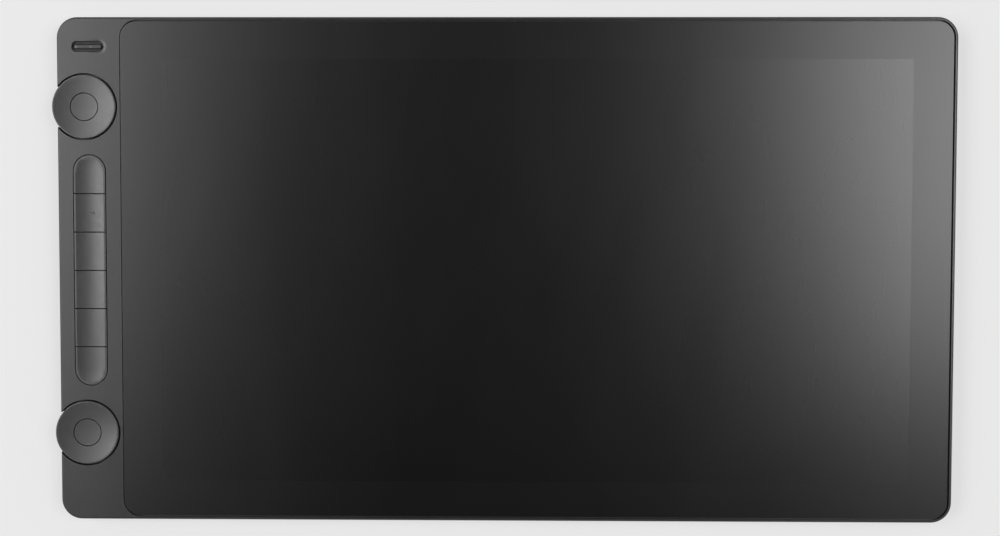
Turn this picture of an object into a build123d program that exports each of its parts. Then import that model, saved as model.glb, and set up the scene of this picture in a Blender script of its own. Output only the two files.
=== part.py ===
from build123d import *
import os

# A pen display that lies flat on a desk: a laminated screen with a control strip at its left side.
# The origin is the middle of the footprint on the desk, +X runs to the right side,
# +Y to the far edge and +Z up. All lengths are in millimetres.

# Picture area of the panel, the scale of the whole object, and how far the body passes it
active_width = 349.6
active_depth = 196.7
active_from_left = 47.5
active_from_right = 18.4
active_from_top = 19.1
active_from_near = 18.2
body_width = active_from_left + active_width + active_from_right
body_depth = active_from_top + active_depth + active_from_near

# Body shell, measured on its outer skin
body_height = 13.0
body_corner = 9.5
top_round = 0.9
wall = 1.6
overrun = 2.0

# Back cover, its locating rim and the feet it stands on
foot_stand = 0.8
seam_height = 4.0
cover_floor = 1.4
cover_round = 2.0
rim_gap = 0.15
rim_thickness = 0.9
rim_height = 0.9
foot_length = 64.0
foot_width = 10.0
foot_recess = 0.5
foot_gap = 0.15
foot_inset_x = 44.0
foot_inset_y = 17.0

# Cover glass in its pocket, with the lip of the housing round it and the mid frame under it
lip = 1.25
glass_gap = 0.75
glass_gap_left = 0.45
glass_from_left = 29.6
glass_corner = 7.5
glass_drop = 0.1
glass_thickness = 1.1
glass_edge_round = 0.1
tape_thickness = 0.3
tape_width = 3.0
tape_inset = 0.6
ledge_width = 6.0
ledge_thickness = 1.5
window_corner = 3.0

# Display stack under the glass, from the bond down to the shield plate
bond_thickness = 0.3
bond_inset = 0.5
panel_thickness = 1.0
panel_margin = 3.0
panel_foot_margin = 7.0
film_thickness = 0.4
guide_thickness = 1.2
reflector_thickness = 0.2
stack_clearance = 0.3
tray_floor = 0.4
tray_wall = 0.5
tray_foot_margin = 5.0
light_strip_thickness = 0.6
led_width = 4.0
led_depth = 1.2
led_height = 1.0
led_pitch = 9.6
digitizer_thickness = 0.8
digitizer_margin = 2.0
shield_thickness = 0.3

# Panel driver board and its flexes along the near edge
driver_width = 240.0
driver_depth = 5.0
driver_thickness = 0.8
flex_width = 30.0
flex_pitch = 78.0
flex_thickness = 0.15
flex_overlap = 1.2
flex_stand_off = 0.6

# Foam blocks between the cover and the shield plate
foam_side = 20.0
foam_inset_x = 64.8
foam_pitch_y = 84.0
foam_shift_y = -20.0

# Control strip plate
strip_plate = 1.8
strip_rib = 1.6
strip_shift = -0.25
key_line_from_left = 14.7
dial_line_from_left = 12.45
dial_from_end = 41.1
slot_from_dial = 22.1

# Keys in their long slot
key_count = 6
key_slot_width = 15.3
key_end_extra = 0.31
key_groove = 0.3
key_split_gap = 0.4
key_proud = 0.2
key_edge_round = 0.15
key_dish_depth = 0.4
key_land = 0.7
key_travel = 0.6
key_flange = 1.0
key_flange_thickness = 0.8
key_flange_gap = 0.1
key_stem_side = 5.0
slot_edge_round = 0.2

# Frame that guides the keys
key_frame_floor = 1.0
key_frame_gap = 0.2
key_frame_wall = 1.0
key_frame_side_gap = 0.4
stem_gap = 0.15

# Push switches under the keys and the power button
switch_side = 6.0
switch_height = 2.9
switch_floor = 0.3
switch_proud = 0.7
plunger_diameter = 3.2
plunger_gap = 0.1

# Dials, with the centre button inside each
dial_diameter = 29.5
dial_height = 5.2
dial_proud = 0.45
dial_gap = 0.8
dial_float = 0.3
dial_top_round = 0.5
dial_foot_round = 0.4
dial_dish_depth = 0.8
dial_land = 0.3
dial_web = 1.2
well_floor = 1.2
well_wall = 1.2
sleeve_diameter = 9.0
sleeve_bore = 5.2
sleeve_running_gap = 0.1
sleeve_gap = 0.3
hub_diameter = 12.6
hub_gap = 0.3
hub_edge = 0.15
hub_travel = 0.4
hub_lift = 0.9
hub_stem_diameter = 4.4
hub_switch_side = 5.0
hub_switch_height = 1.0
hub_switch_floor = 0.2
hub_switch_proud = 0.6
hub_plunger_diameter = 2.4
encoder_side = 15.0
encoder_height = 2.0
encoder_corner = 1.5
encoder_gap = 0.3
rotor_wall = 1.3
rotor_height = 0.6
rotor_seat = 0.05

# Power button in its recess
power_from_left = 14.4
power_from_top = 13.6
power_recess_width = 14.5
power_recess_depth = 4.45
power_recess_drop = 1.1
power_recess_round = 0.4
power_bar_width = 13.0
power_bar_depth = 2.1
power_bar_drop = 0.25
power_bar_round = 0.45
power_bar_gap = 0.2
power_flange = 0.9
power_stem_side = 3.0
power_travel = 0.3
lens_diameter = 1.2
lens_depth = 0.8
lens_seat = 0.02
lens_left_offset = -5.4
lens_right_offset = 1.5

# Circuit boards
board_thickness = 1.0
board_hole_gap = 0.15
control_board_width = 22.6
control_board_from_left = 3.2
control_board_end_inset = 10.3
board_screw_from_left = 23.0
board_screw_slot_gap = 3.0
board_screw_end_inset = 11.9
control_board_lift = 1.4
main_board_width = 74.0
main_board_depth = 47.0
main_board_from_left = 44.0
main_board_from_top = 3.2
main_post_height = 2.8
main_post_diameter = 4.6
main_screw_inset = 4.0
processor_side = 14.0
memory_width = 9.0
memory_depth = 7.0
converter_side = 5.0
chip_height = 1.0
coil_height = 1.1
processor_place_shares = (0.12, -0.05)
memory_place_shares = (-0.14, -0.05)
converter_place_shares = ((-0.3, 0.22), (0.02, 0.22), (0.3, 0.22))

# Ribbon cables between the boards
cable_thickness = 0.2
panel_cable_width = 14.0
control_cable_width = 8.0
cable_landing = 5.0
cable_slope = 6.0
cable_step = 1.0
panel_cable_from_left = 84.0
control_cable_from_top = 31.0

# Cable sockets in the far wall, by their distance from the left side
usb_places_from_left = (56.0, 74.0)
usb_width = 8.94
usb_height = 3.26
usb_length = 7.35
usb_shell_wall = 0.3
usb_wall_gap = 0.7
usb_window_width = 12.0
usb_window_height = 5.2
usb_tongue_width = 6.69
usb_tongue_height = 0.7
usb_tongue_recess = 1.0
usb_base_length = 1.6
usb_base_gap = 0.05

# Screws
screw_diameter = 2.0
screw_head_diameter = 3.8
screw_head_height = 1.0
screw_cross_width = 0.5
screw_cross_depth = 0.5
screw_seat_gap = 0.05
rear_screw_length = 5.5
board_screw_length = 2.4
boss_diameter = 4.8
screw_pad_diameter = 6.4
screw_pad_height = 1.2
head_pocket_gap = 0.2
head_pocket_depth = 1.3
corner_screw_inset = 7.5
edge_screw_inset = 6.3
edge_screw_spread = 140.0
edge_screw_shift = 12.0
strip_screw_from_left = 32.5

# Places in the plan
dial_overhang = dial_diameter / 2 - dial_line_from_left
body_x = dial_overhang / 2
body_left = body_x - body_width / 2
body_right = body_x + body_width / 2
body_far = body_depth / 2
body_near = -body_depth / 2


def from_left(distance):
    """The X of a place this far from the left side of the body."""
    return body_left + distance


def from_top(distance):
    """The Y of a place this far from the far edge of the body."""
    return body_far - distance


strip_y = strip_shift
key_x = from_left(key_line_from_left)
dial_x = from_left(dial_line_from_left)
dial_spacing = body_depth - 2 * dial_from_end
key_slot_length = dial_spacing - 2 * slot_from_dial
key_pitch = (key_slot_length - 2 * key_end_extra) / key_count
dial_places = {
    "upper": (dial_x, strip_y + dial_spacing / 2),
    "lower": (dial_x, strip_y - dial_spacing / 2),
}
power_place = (from_left(power_from_left), from_top(power_from_top))
active_x = from_left(active_from_left + active_width / 2)
active_y = from_top(active_from_top + active_depth / 2)
active_near = active_y - active_depth / 2
glass_width = body_width - lip - glass_gap - glass_from_left
glass_depth = body_depth - 2 * (lip + glass_gap)
glass_x = from_left(glass_from_left + glass_width / 2)

# Heights of the shell
cover_top = foot_stand + cover_floor
strip_under = body_height - strip_plate
glass_top = body_height - glass_drop
glass_bottom = glass_top - glass_thickness
ledge_top = glass_bottom - tape_thickness
ledge_bottom = ledge_top - ledge_thickness
pad_top = cover_top + screw_pad_height

# Heights of the display stack
bond_bottom = glass_bottom - bond_thickness
panel_bottom = bond_bottom - panel_thickness
film_bottom = panel_bottom - film_thickness
guide_bottom = film_bottom - guide_thickness
reflector_bottom = guide_bottom - reflector_thickness
tray_bottom = reflector_bottom - tray_floor
digitizer_bottom = tray_bottom - digitizer_thickness
shield_bottom = digitizer_bottom - shield_thickness
driver_bottom = tray_bottom - driver_thickness

# Heights of the boards and of the controls above them
control_board_bottom = cover_top + control_board_lift
control_board_top = control_board_bottom + board_thickness
main_board_bottom = cover_top + main_post_height
main_board_top = main_board_bottom + board_thickness
switch_top = control_board_top + switch_height
plunger_top = switch_top + switch_proud
flange_top = strip_under - key_flange_gap
flange_bottom = flange_top - key_flange_thickness
key_top = body_height + key_proud
frame_top = flange_bottom - key_travel - key_frame_gap
frame_bottom = frame_top - key_frame_floor
dial_top = body_height + dial_proud
dial_bottom = dial_top - dial_height
well_bottom = dial_bottom - dial_float
cup_bottom = well_bottom - well_floor
hub_switch_top = control_board_top + hub_switch_height
hub_plunger_top = hub_switch_top + hub_switch_proud
sleeve_bottom = hub_switch_top + sleeve_gap
hub_bottom = dial_bottom + dial_web + hub_lift

# Screw places
strip_screw_places = [
    (body_left + corner_screw_inset, body_far - corner_screw_inset),
    (body_left + corner_screw_inset, body_near + corner_screw_inset),
]
frame_screw_places = [
    (body_right - corner_screw_inset, body_far - corner_screw_inset),
    (body_right - corner_screw_inset, body_near + corner_screw_inset),
    (glass_x + edge_screw_shift - edge_screw_spread / 2, body_far - edge_screw_inset),
    (glass_x + edge_screw_shift + edge_screw_spread / 2, body_far - edge_screw_inset),
    (glass_x + edge_screw_shift - edge_screw_spread / 2, body_near + edge_screw_inset),
    (glass_x + edge_screw_shift + edge_screw_spread / 2, body_near + edge_screw_inset),
    (body_right - edge_screw_inset, strip_y),
    (from_left(strip_screw_from_left), strip_y),
]
rear_screw_places = strip_screw_places + frame_screw_places
control_board_length = body_depth - 2 * control_board_end_inset
control_screw_reaches = (
    key_slot_length / 2 + board_screw_slot_gap,
    control_board_length / 2 - board_screw_end_inset,
)
control_screw_places = [
    (from_left(board_screw_from_left), strip_y + side * reach)
    for side in (-1, 1)
    for reach in control_screw_reaches
]
main_board_x = from_left(main_board_from_left + main_board_width / 2)
main_board_y = from_top(main_board_from_top + main_board_depth / 2)
main_screw_places = [
    (
        main_board_x + side * (main_board_width / 2 - main_screw_inset),
        main_board_y + end * (main_board_depth / 2 - main_screw_inset),
    )
    for side in (-1, 1)
    for end in (-1, 1)
]
foot_places = [
    (body_x + side * (body_width / 2 - foot_inset_x), end * (body_depth / 2 - foot_inset_y))
    for side in (-1, 1)
    for end in (-1, 1)
]
key_places = [
    (key_x, strip_y + key_pitch * ((key_count - 1) / 2 - index)) for index in range(key_count)
]

os.makedirs("parts", exist_ok=True)


def save(piece, label):
    """Names a finished piece and writes it."""
    piece.part.label = label
    export_step(piece.part, "parts/" + label + ".step")


def body_outline(inset):
    """The outline of the body, drawn this far inside its skin."""
    with Locations((body_x, 0)):
        RectangleRounded(body_width - 2 * inset, body_depth - 2 * inset, body_corner - inset)


def glass_outline(inset, mode=Mode.ADD):
    """The outline of the glass, drawn this far inside its edge."""
    with Locations((glass_x, 0)):
        RectangleRounded(
            glass_width - 2 * inset, glass_depth - 2 * inset, glass_corner - inset, mode=mode
        )


def picture_frame(side, far, near):
    """Width, depth and centre of a rectangle that passes the picture by these margins."""
    return (
        active_width + 2 * side,
        active_depth + far + near,
        (active_x, active_y + (far - near) / 2),
    )


def make_sheet(label, frame, bottom, thickness):
    """A flat sheet of the display stack."""
    width, depth, centre = frame
    with BuildPart() as sheet:
        with BuildSketch(Plane.XY.offset(bottom)):
            with Locations(centre):
                Rectangle(width, depth)
        extrude(amount=thickness)
    save(sheet, label)


# Front housing: side walls, lip round the glass and control strip in one moulding
housing_depth = body_height - seam_height
pocket_left = glass_from_left - glass_gap_left
pocket_width = body_width - lip - pocket_left
pocket_x = from_left(pocket_left + pocket_width / 2)
strip_cavity_right = from_left(pocket_left - strip_rib)
well_diameter = dial_diameter + 2 * dial_gap
cup_diameter = well_diameter + 2 * well_wall


def keep_left_of(edge):
    """Cuts what is drawn off at the right of an edge."""
    with Locations((edge, 0)):
        Rectangle(body_width, body_depth, align=(Align.MAX, Align.CENTER), mode=Mode.INTERSECT)


def keep_right_of(edge):
    """Cuts what is drawn off at the left of an edge."""
    with Locations((edge, 0)):
        Rectangle(body_width, body_depth, align=(Align.MIN, Align.CENTER), mode=Mode.INTERSECT)


with BuildPart() as front_housing:
    with BuildSketch(Plane.XY.offset(seam_height)):
        body_outline(0)
    extrude(amount=housing_depth)
    fillet(front_housing.faces().sort_by(Axis.Z)[-1].edges(), top_round)

    # Pocket for the glass, and below it the space of the mid frame
    with BuildSketch(Plane.XY.offset(ledge_top)):
        with Locations((pocket_x, 0)):
            RectangleRounded(pocket_width, body_depth - 2 * lip, glass_corner + glass_gap)
    extrude(amount=body_height - ledge_top + overrun, mode=Mode.SUBTRACT)
    with BuildSketch(Plane.XY.offset(ledge_bottom)):
        body_outline(wall)
        keep_right_of(from_left(pocket_left))
    extrude(amount=ledge_thickness, mode=Mode.SUBTRACT)

    # Hollow of the body, and the higher hollow under the control strip
    with BuildSketch(Plane.XY.offset(seam_height)):
        body_outline(wall)
    extrude(amount=ledge_bottom - seam_height, mode=Mode.SUBTRACT)
    with BuildSketch(Plane.XY.offset(ledge_bottom)):
        body_outline(wall)
        keep_left_of(strip_cavity_right)
    extrude(amount=strip_under - ledge_bottom, mode=Mode.SUBTRACT)

    # Cups of the dial wells, which break out through the left wall
    with BuildSketch(Plane.XY.offset(cup_bottom)):
        with Locations(*dial_places.values()):
            Circle(cup_diameter / 2)
        with Locations((body_x, 0)):
            RectangleRounded(body_width, body_depth, body_corner, mode=Mode.INTERSECT)
        keep_left_of(from_left(pocket_left))
    extrude(amount=strip_under - cup_bottom)

    # Bosses for the rear screws and for the screws of the control board
    with BuildSketch(Plane.XY.offset(pad_top)):
        with Locations(*strip_screw_places):
            Circle(boss_diameter / 2)
    extrude(amount=strip_under - pad_top)
    with BuildSketch(Plane.XY.offset(control_board_top)):
        with Locations(*control_screw_places):
            Circle(boss_diameter / 2)
    extrude(amount=strip_under - control_board_top)
    with BuildSketch(Plane.XY.offset(pad_top)):
        with Locations(*strip_screw_places):
            Circle(screw_diameter / 2 + screw_seat_gap)
    extrude(amount=rear_screw_length, mode=Mode.SUBTRACT)
    with BuildSketch(Plane.XY.offset(control_board_top)):
        with Locations(*control_screw_places):
            Circle(screw_diameter / 2 + screw_seat_gap)
    extrude(amount=board_screw_length, mode=Mode.SUBTRACT)

    # Wells of the dials and the holes for their sleeves
    with BuildSketch(Plane.XY.offset(well_bottom)):
        with Locations(*dial_places.values()):
            Circle(well_diameter / 2)
    extrude(amount=body_height - well_bottom + overrun, mode=Mode.SUBTRACT)
    with BuildSketch(Plane.XY.offset(cup_bottom - overrun)):
        with Locations(*dial_places.values()):
            Circle(sleeve_diameter / 2 + sleeve_running_gap)
    extrude(amount=well_floor + 2 * overrun, mode=Mode.SUBTRACT)

    # Slot of the keys
    with BuildSketch(Plane.XY.offset(strip_under)):
        with Locations((key_x, strip_y)):
            SlotOverall(key_slot_length, key_slot_width, rotation=90)
    extrude(amount=strip_plate, mode=Mode.SUBTRACT)
    fillet(front_housing.edges(Select.LAST).group_by(Axis.Z)[-1], slot_edge_round)

    # Recess of the power button, with the slot that its bar passes through
    with BuildSketch(Plane.XY.offset(body_height - power_recess_drop)):
        with Locations(power_place):
            SlotOverall(power_recess_width, power_recess_depth)
    extrude(amount=power_recess_drop, mode=Mode.SUBTRACT)
    fillet(front_housing.edges(Select.LAST).group_by(Axis.Z)[-1], power_recess_round)
    with BuildSketch(Plane.XY.offset(strip_under)):
        with Locations(power_place):
            SlotOverall(power_bar_width + 2 * power_bar_gap, power_bar_depth + 2 * power_bar_gap)
    extrude(amount=strip_plate, mode=Mode.SUBTRACT)

    # Openings for the cable sockets in the far wall
    usb_z = main_board_top + usb_height / 2
    with BuildSketch(Plane.XZ.offset(-body_far - overrun)):
        with Locations(*[(from_left(place), usb_z) for place in usb_places_from_left]):
            SlotOverall(usb_window_width, usb_window_height)
    extrude(amount=wall + 2 * overrun, mode=Mode.SUBTRACT)
save(front_housing, "front_housing")

# Mid frame: the ring that the housing is moulded onto, which carries the glass and the rear bosses
with BuildPart() as mid_frame:
    with BuildSketch(Plane.XY.offset(ledge_bottom)):
        body_outline(wall)
        keep_right_of(from_left(pocket_left))
        with Locations((glass_x, 0)):
            RectangleRounded(
                glass_width - 2 * ledge_width,
                glass_depth - 2 * ledge_width,
                window_corner,
                mode=Mode.SUBTRACT,
            )
    extrude(amount=ledge_thickness)
    with BuildSketch(Plane.XY.offset(pad_top)):
        with Locations(*frame_screw_places):
            Circle(boss_diameter / 2)
    extrude(amount=ledge_top - pad_top)
    with BuildSketch(Plane.XY.offset(pad_top)):
        with Locations(*frame_screw_places):
            Circle(screw_diameter / 2 + screw_seat_gap)
    extrude(amount=rear_screw_length, mode=Mode.SUBTRACT)
save(mid_frame, "mid_frame")

# Back cover: a shallow tray with a rim that locates it inside the housing
cover_cavity_inset = wall + rim_gap + rim_thickness
head_pocket_diameter = screw_head_diameter + 2 * head_pocket_gap

with BuildPart() as back_cover:
    with BuildSketch(Plane.XY.offset(foot_stand)):
        body_outline(0)
    extrude(amount=seam_height - foot_stand)
    fillet(back_cover.faces().sort_by(Axis.Z)[0].edges(), cover_round)
    with BuildSketch(Plane.XY.offset(seam_height)):
        body_outline(wall + rim_gap)
    extrude(amount=rim_height)
    with BuildSketch(Plane.XY.offset(cover_top)):
        body_outline(cover_cavity_inset)
    extrude(amount=seam_height + rim_height - cover_top, mode=Mode.SUBTRACT)

    # Pads with head pockets for the rear screws
    with BuildSketch(Plane.XY.offset(cover_top)):
        with Locations(*rear_screw_places):
            Circle(screw_pad_diameter / 2)
    extrude(amount=screw_pad_height)
    with BuildSketch(Plane.XY.offset(foot_stand)):
        with Locations(*rear_screw_places):
            Circle(head_pocket_diameter / 2)
    extrude(amount=head_pocket_depth, mode=Mode.SUBTRACT)
    with BuildSketch(Plane.XY.offset(foot_stand)):
        with Locations(*rear_screw_places):
            Circle(screw_diameter / 2 + board_hole_gap)
    extrude(amount=pad_top - foot_stand, mode=Mode.SUBTRACT)

    # Posts of the main board
    with BuildSketch(Plane.XY.offset(cover_top)):
        with Locations(*main_screw_places):
            Circle(main_post_diameter / 2)
    extrude(amount=main_post_height)
    with BuildSketch(Plane.XY.offset(main_board_top - board_screw_length)):
        with Locations(*main_screw_places):
            Circle(screw_diameter / 2 + screw_seat_gap)
    extrude(amount=board_screw_length, mode=Mode.SUBTRACT)

    # Recesses of the feet
    with BuildSketch(Plane.XY.offset(foot_stand)):
        with Locations(*foot_places):
            SlotOverall(foot_length + 2 * foot_gap, foot_width + 2 * foot_gap)
    extrude(amount=foot_recess, mode=Mode.SUBTRACT)
save(back_cover, "back_cover")

# Rubber feet
with BuildPart() as rubber_feet:
    with BuildSketch():
        with Locations(*foot_places):
            SlotOverall(foot_length, foot_width)
    extrude(amount=foot_stand + foot_recess)
save(rubber_feet, "rubber_feet")


def make_screws(label, places, seat, direction, length):
    """Screws with their heads against a seat and their shanks along a direction, +1 up or -1 down."""
    head_end = seat - direction * screw_head_height
    with BuildPart() as screws:
        with BuildSketch(Plane.XY.offset(seat)):
            with Locations(*places):
                Circle(screw_head_diameter / 2)
        extrude(amount=-direction * screw_head_height)
        with BuildSketch(Plane.XY.offset(head_end)):
            with Locations(*places):
                Rectangle(screw_head_diameter / 2, screw_cross_width)
                Rectangle(screw_cross_width, screw_head_diameter / 2)
        extrude(amount=direction * screw_cross_depth, mode=Mode.SUBTRACT)
        with BuildSketch(Plane.XY.offset(seat)):
            with Locations(*places):
                Circle(screw_diameter / 2)
        extrude(amount=direction * length)
    save(screws, label)


rear_screw_seat = foot_stand + head_pocket_depth
make_screws("rear_screws", rear_screw_places, rear_screw_seat, 1, rear_screw_length)
make_screws("control_board_screws", control_screw_places, control_board_bottom, 1, board_screw_length)
make_screws("main_board_screws", main_screw_places, main_board_top, -1, board_screw_length)

# Cover glass and the adhesive ring that holds it on the ledge
with BuildPart() as cover_glass:
    with BuildSketch(Plane.XY.offset(glass_bottom)):
        glass_outline(0)
    extrude(amount=glass_thickness)
    fillet(cover_glass.faces().sort_by(Axis.Z)[-1].edges(), glass_edge_round)
save(cover_glass, "cover_glass")

with BuildPart() as glass_tape:
    with BuildSketch(Plane.XY.offset(ledge_top)):
        glass_outline(tape_inset)
        glass_outline(tape_inset + tape_width, mode=Mode.SUBTRACT)
    extrude(amount=tape_thickness)
save(glass_tape, "glass_tape")

# Display stack
inner_margin = panel_margin - tray_wall - stack_clearance
inner_foot_margin = tray_foot_margin - tray_wall - stack_clearance
light_space = light_strip_thickness + led_depth
guide_foot_margin = inner_foot_margin - light_space
bond_frame = picture_frame(
    panel_margin - bond_inset, panel_margin - bond_inset, panel_foot_margin - bond_inset
)
film_frame = picture_frame(inner_margin, inner_margin, inner_foot_margin)
guide_frame = picture_frame(inner_margin, inner_margin, guide_foot_margin)
digitizer_foot_margin = tray_foot_margin - driver_depth - stack_clearance
digitizer_frame = picture_frame(digitizer_margin, digitizer_margin, digitizer_foot_margin)

make_sheet("optical_bond", bond_frame, bond_bottom, bond_thickness)
make_sheet(
    "display_panel",
    picture_frame(panel_margin, panel_margin, panel_foot_margin),
    panel_bottom,
    panel_thickness,
)
make_sheet("diffuser_films", film_frame, film_bottom, film_thickness)
make_sheet("light_guide", guide_frame, guide_bottom, guide_thickness)
make_sheet("reflector_film", guide_frame, reflector_bottom, reflector_thickness)
make_sheet("digitizer_board", digitizer_frame, digitizer_bottom, digitizer_thickness)
make_sheet("shield_plate", digitizer_frame, shield_bottom, shield_thickness)

with BuildPart() as backlight_tray:
    tray_width, tray_depth, tray_centre = picture_frame(panel_margin, panel_margin, tray_foot_margin)
    with BuildSketch(Plane.XY.offset(tray_bottom)):
        with Locations(tray_centre):
            Rectangle(tray_width, tray_depth)
    extrude(amount=panel_bottom - tray_bottom)
    with BuildSketch(Plane.XY.offset(reflector_bottom)):
        with Locations(tray_centre):
            Rectangle(tray_width - 2 * tray_wall, tray_depth - 2 * tray_wall)
    extrude(amount=panel_bottom - reflector_bottom, mode=Mode.SUBTRACT)
save(backlight_tray, "backlight_tray")

# Light strip against the near wall of the tray, with its lamps facing the light guide
strip_near = active_near - tray_foot_margin + tray_wall
led_count = int((active_width - led_width) / led_pitch) + 1

with BuildPart() as light_strip:
    with BuildSketch(Plane.XY.offset(reflector_bottom)):
        with Locations((active_x, strip_near)):
            Rectangle(active_width, light_strip_thickness, align=(Align.CENTER, Align.MIN))
    extrude(amount=guide_thickness)
save(light_strip, "light_strip")

with BuildPart() as backlight_leds:
    with BuildSketch(Plane.XY.offset(reflector_bottom)):
        with Locations((active_x, strip_near + light_strip_thickness + led_depth / 2)):
            with GridLocations(led_pitch, led_pitch, led_count, 1):
                Rectangle(led_width, led_depth)
    extrude(amount=led_height)
save(backlight_leds, "backlight_leds")

# Driver board under the near edge of the tray, with flexes that wrap round to the panel
tray_near = active_near - tray_foot_margin
panel_near = active_near - panel_foot_margin

with BuildPart() as panel_driver_board:
    with BuildSketch(Plane.XY.offset(driver_bottom)):
        with Locations((active_x, tray_near)):
            Rectangle(driver_width, driver_depth, align=(Align.CENTER, Align.MIN))
    extrude(amount=driver_thickness)
save(panel_driver_board, "panel_driver_board")

with BuildPart() as panel_flexes:
    flex_near = panel_near + flex_stand_off
    flex_top = panel_bottom - flex_thickness
    for column in (-1, 0, 1):
        with BuildSketch(Plane.YZ.offset(active_x + column * flex_pitch)):
            with BuildLine():
                Polyline(
                    (flex_near + flex_overlap, panel_bottom),
                    (flex_near, panel_bottom),
                    (flex_near, driver_bottom - flex_thickness),
                    (tray_near + flex_overlap, driver_bottom - flex_thickness),
                    (tray_near + flex_overlap, driver_bottom),
                    (flex_near + flex_thickness, driver_bottom),
                    (flex_near + flex_thickness, flex_top),
                    (flex_near + flex_overlap, flex_top),
                    close=True,
                )
            make_face()
        extrude(amount=flex_width / 2, both=True)
save(panel_flexes, "panel_flexes")

# Foam blocks that carry the display stack on the cover
foam_pitch_x = active_width / 2 - foam_inset_x

with BuildPart() as foam_blocks:
    with BuildSketch(Plane.XY.offset(cover_top)):
        with Locations((active_x, active_y + foam_shift_y)):
            with GridLocations(foam_pitch_x, foam_pitch_y, 3, 2):
                Rectangle(foam_side, foam_side)
    extrude(amount=shield_bottom - cover_top)
save(foam_blocks, "foam_blocks")

# Control board under the strip
with BuildPart() as control_board:
    with BuildSketch(Plane.XY.offset(control_board_bottom)):
        with Locations((from_left(control_board_from_left), strip_y)):
            Rectangle(
                control_board_width, control_board_length, align=(Align.MIN, Align.CENTER)
            )
        with Locations(*control_screw_places):
            Circle(screw_diameter / 2 + board_hole_gap, mode=Mode.SUBTRACT)
    extrude(amount=board_thickness)
save(control_board, "control_board")

# Main board on the posts of the cover, with its chips
with BuildPart() as main_board:
    with BuildSketch(Plane.XY.offset(main_board_bottom)):
        with Locations((main_board_x, main_board_y)):
            Rectangle(main_board_width, main_board_depth)
        with Locations(*main_screw_places):
            Circle(screw_diameter / 2 + board_hole_gap, mode=Mode.SUBTRACT)
    extrude(amount=board_thickness)
save(main_board, "main_board")


def on_main_board(shares):
    """A place on the main board, as shares of its width and depth from its middle."""
    return (
        main_board_x + shares[0] * main_board_width,
        main_board_y + shares[1] * main_board_depth,
    )


with BuildPart() as main_board_chips:
    with BuildSketch(Plane.XY.offset(main_board_top)):
        with Locations(on_main_board(processor_place_shares)):
            Rectangle(processor_side, processor_side)
        with Locations(on_main_board(memory_place_shares)):
            Rectangle(memory_width, memory_depth)
    extrude(amount=chip_height)
    with BuildSketch(Plane.XY.offset(main_board_top)):
        with Locations(*[on_main_board(shares) for shares in converter_place_shares]):
            Rectangle(converter_side, converter_side)
    extrude(amount=coil_height)
save(main_board_chips, "main_board_chips")


def ribbon(points):
    """The corners of a flat ribbon cable's side view, from the points of its lower face."""
    return points + [(place, height + cable_thickness) for place, height in reversed(points)]


# Ribbon from the main board to the panel driver board, under the shield plate
main_board_near = main_board_y - main_board_depth / 2
digitizer_near = active_near - digitizer_foot_margin
panel_cable_height = shield_bottom - cable_thickness

panel_cable_path = [
    (main_board_near + cable_landing, main_board_top),
    (main_board_near, main_board_top),
    (main_board_near - cable_slope, panel_cable_height),
    (digitizer_near, panel_cable_height),
    (digitizer_near - stack_clearance, driver_bottom - cable_thickness),
    (tray_near + driver_depth / 2, driver_bottom - cable_thickness),
]

with BuildPart() as panel_cable:
    with BuildSketch(Plane.YZ.offset(from_left(panel_cable_from_left))):
        with BuildLine():
            Polyline(*ribbon(panel_cable_path), close=True)
        make_face()
    extrude(amount=panel_cable_width / 2, both=True)
save(panel_cable, "panel_cable")

# Ribbon from the control board to the main board
control_board_right = from_left(control_board_from_left + control_board_width)
main_board_left = from_left(main_board_from_left)
control_cable_path = [
    (control_board_right - cable_landing, control_board_top),
    (control_board_right + cable_step, control_board_top),
    (main_board_left - cable_step, main_board_top),
    (main_board_left + cable_landing, main_board_top),
]

with BuildPart() as control_cable:
    with BuildSketch(Plane.XZ.offset(-from_top(control_cable_from_top))):
        with BuildLine():
            Polyline(*ribbon(control_cable_path), close=True)
        make_face()
    extrude(amount=control_cable_width / 2, both=True)
save(control_cable, "control_cable")

# Cable sockets: a metal shell round an insulating tongue
usb_inner_width = usb_width - 2 * usb_shell_wall
usb_inner_height = usb_height - 2 * usb_shell_wall
usb_front = body_far - wall - usb_wall_gap
usb_back = usb_front - usb_length

for number, place in enumerate(usb_places_from_left, start=1):
    usb_centre = (from_left(place), usb_z)
    with BuildPart() as usb_shell:
        with BuildSketch(Plane.XZ.offset(-usb_front)):
            with Locations(usb_centre):
                SlotOverall(usb_width, usb_height)
                SlotOverall(usb_inner_width, usb_inner_height, mode=Mode.SUBTRACT)
        extrude(amount=usb_length)
    save(usb_shell, "usb_shell_" + str(number))

    with BuildPart() as usb_tongue:
        with BuildSketch(Plane.XZ.offset(-usb_back)):
            with Locations(usb_centre):
                SlotOverall(usb_inner_width - 2 * usb_base_gap, usb_inner_height - 2 * usb_base_gap)
        extrude(amount=-usb_base_length)
        with BuildSketch(Plane.XZ.offset(-usb_back)):
            with Locations(usb_centre):
                Rectangle(usb_tongue_width, usb_tongue_height)
        extrude(amount=-(usb_length - usb_tongue_recess))
    save(usb_tongue, "usb_tongue_" + str(number))


def make_switches(label, places, side, height, floor, bore_diameter):
    """Push switch bodies on the control board, each with a bore for its plunger."""
    with BuildPart() as switches:
        with BuildSketch(Plane.XY.offset(control_board_top)):
            with Locations(*places):
                Rectangle(side, side)
        extrude(amount=height)
        with BuildSketch(Plane.XY.offset(control_board_top + floor)):
            with Locations(*places):
                Circle(bore_diameter / 2)
        extrude(amount=height - floor, mode=Mode.SUBTRACT)
    save(switches, label)


def make_plunger(label, place, diameter, bottom, top):
    """The round plunger of one push switch."""
    with BuildPart() as plunger:
        with BuildSketch(Plane.XY.offset(bottom)):
            with Locations(place):
                Circle(diameter / 2)
        extrude(amount=top - bottom)
    save(plunger, label)


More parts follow.
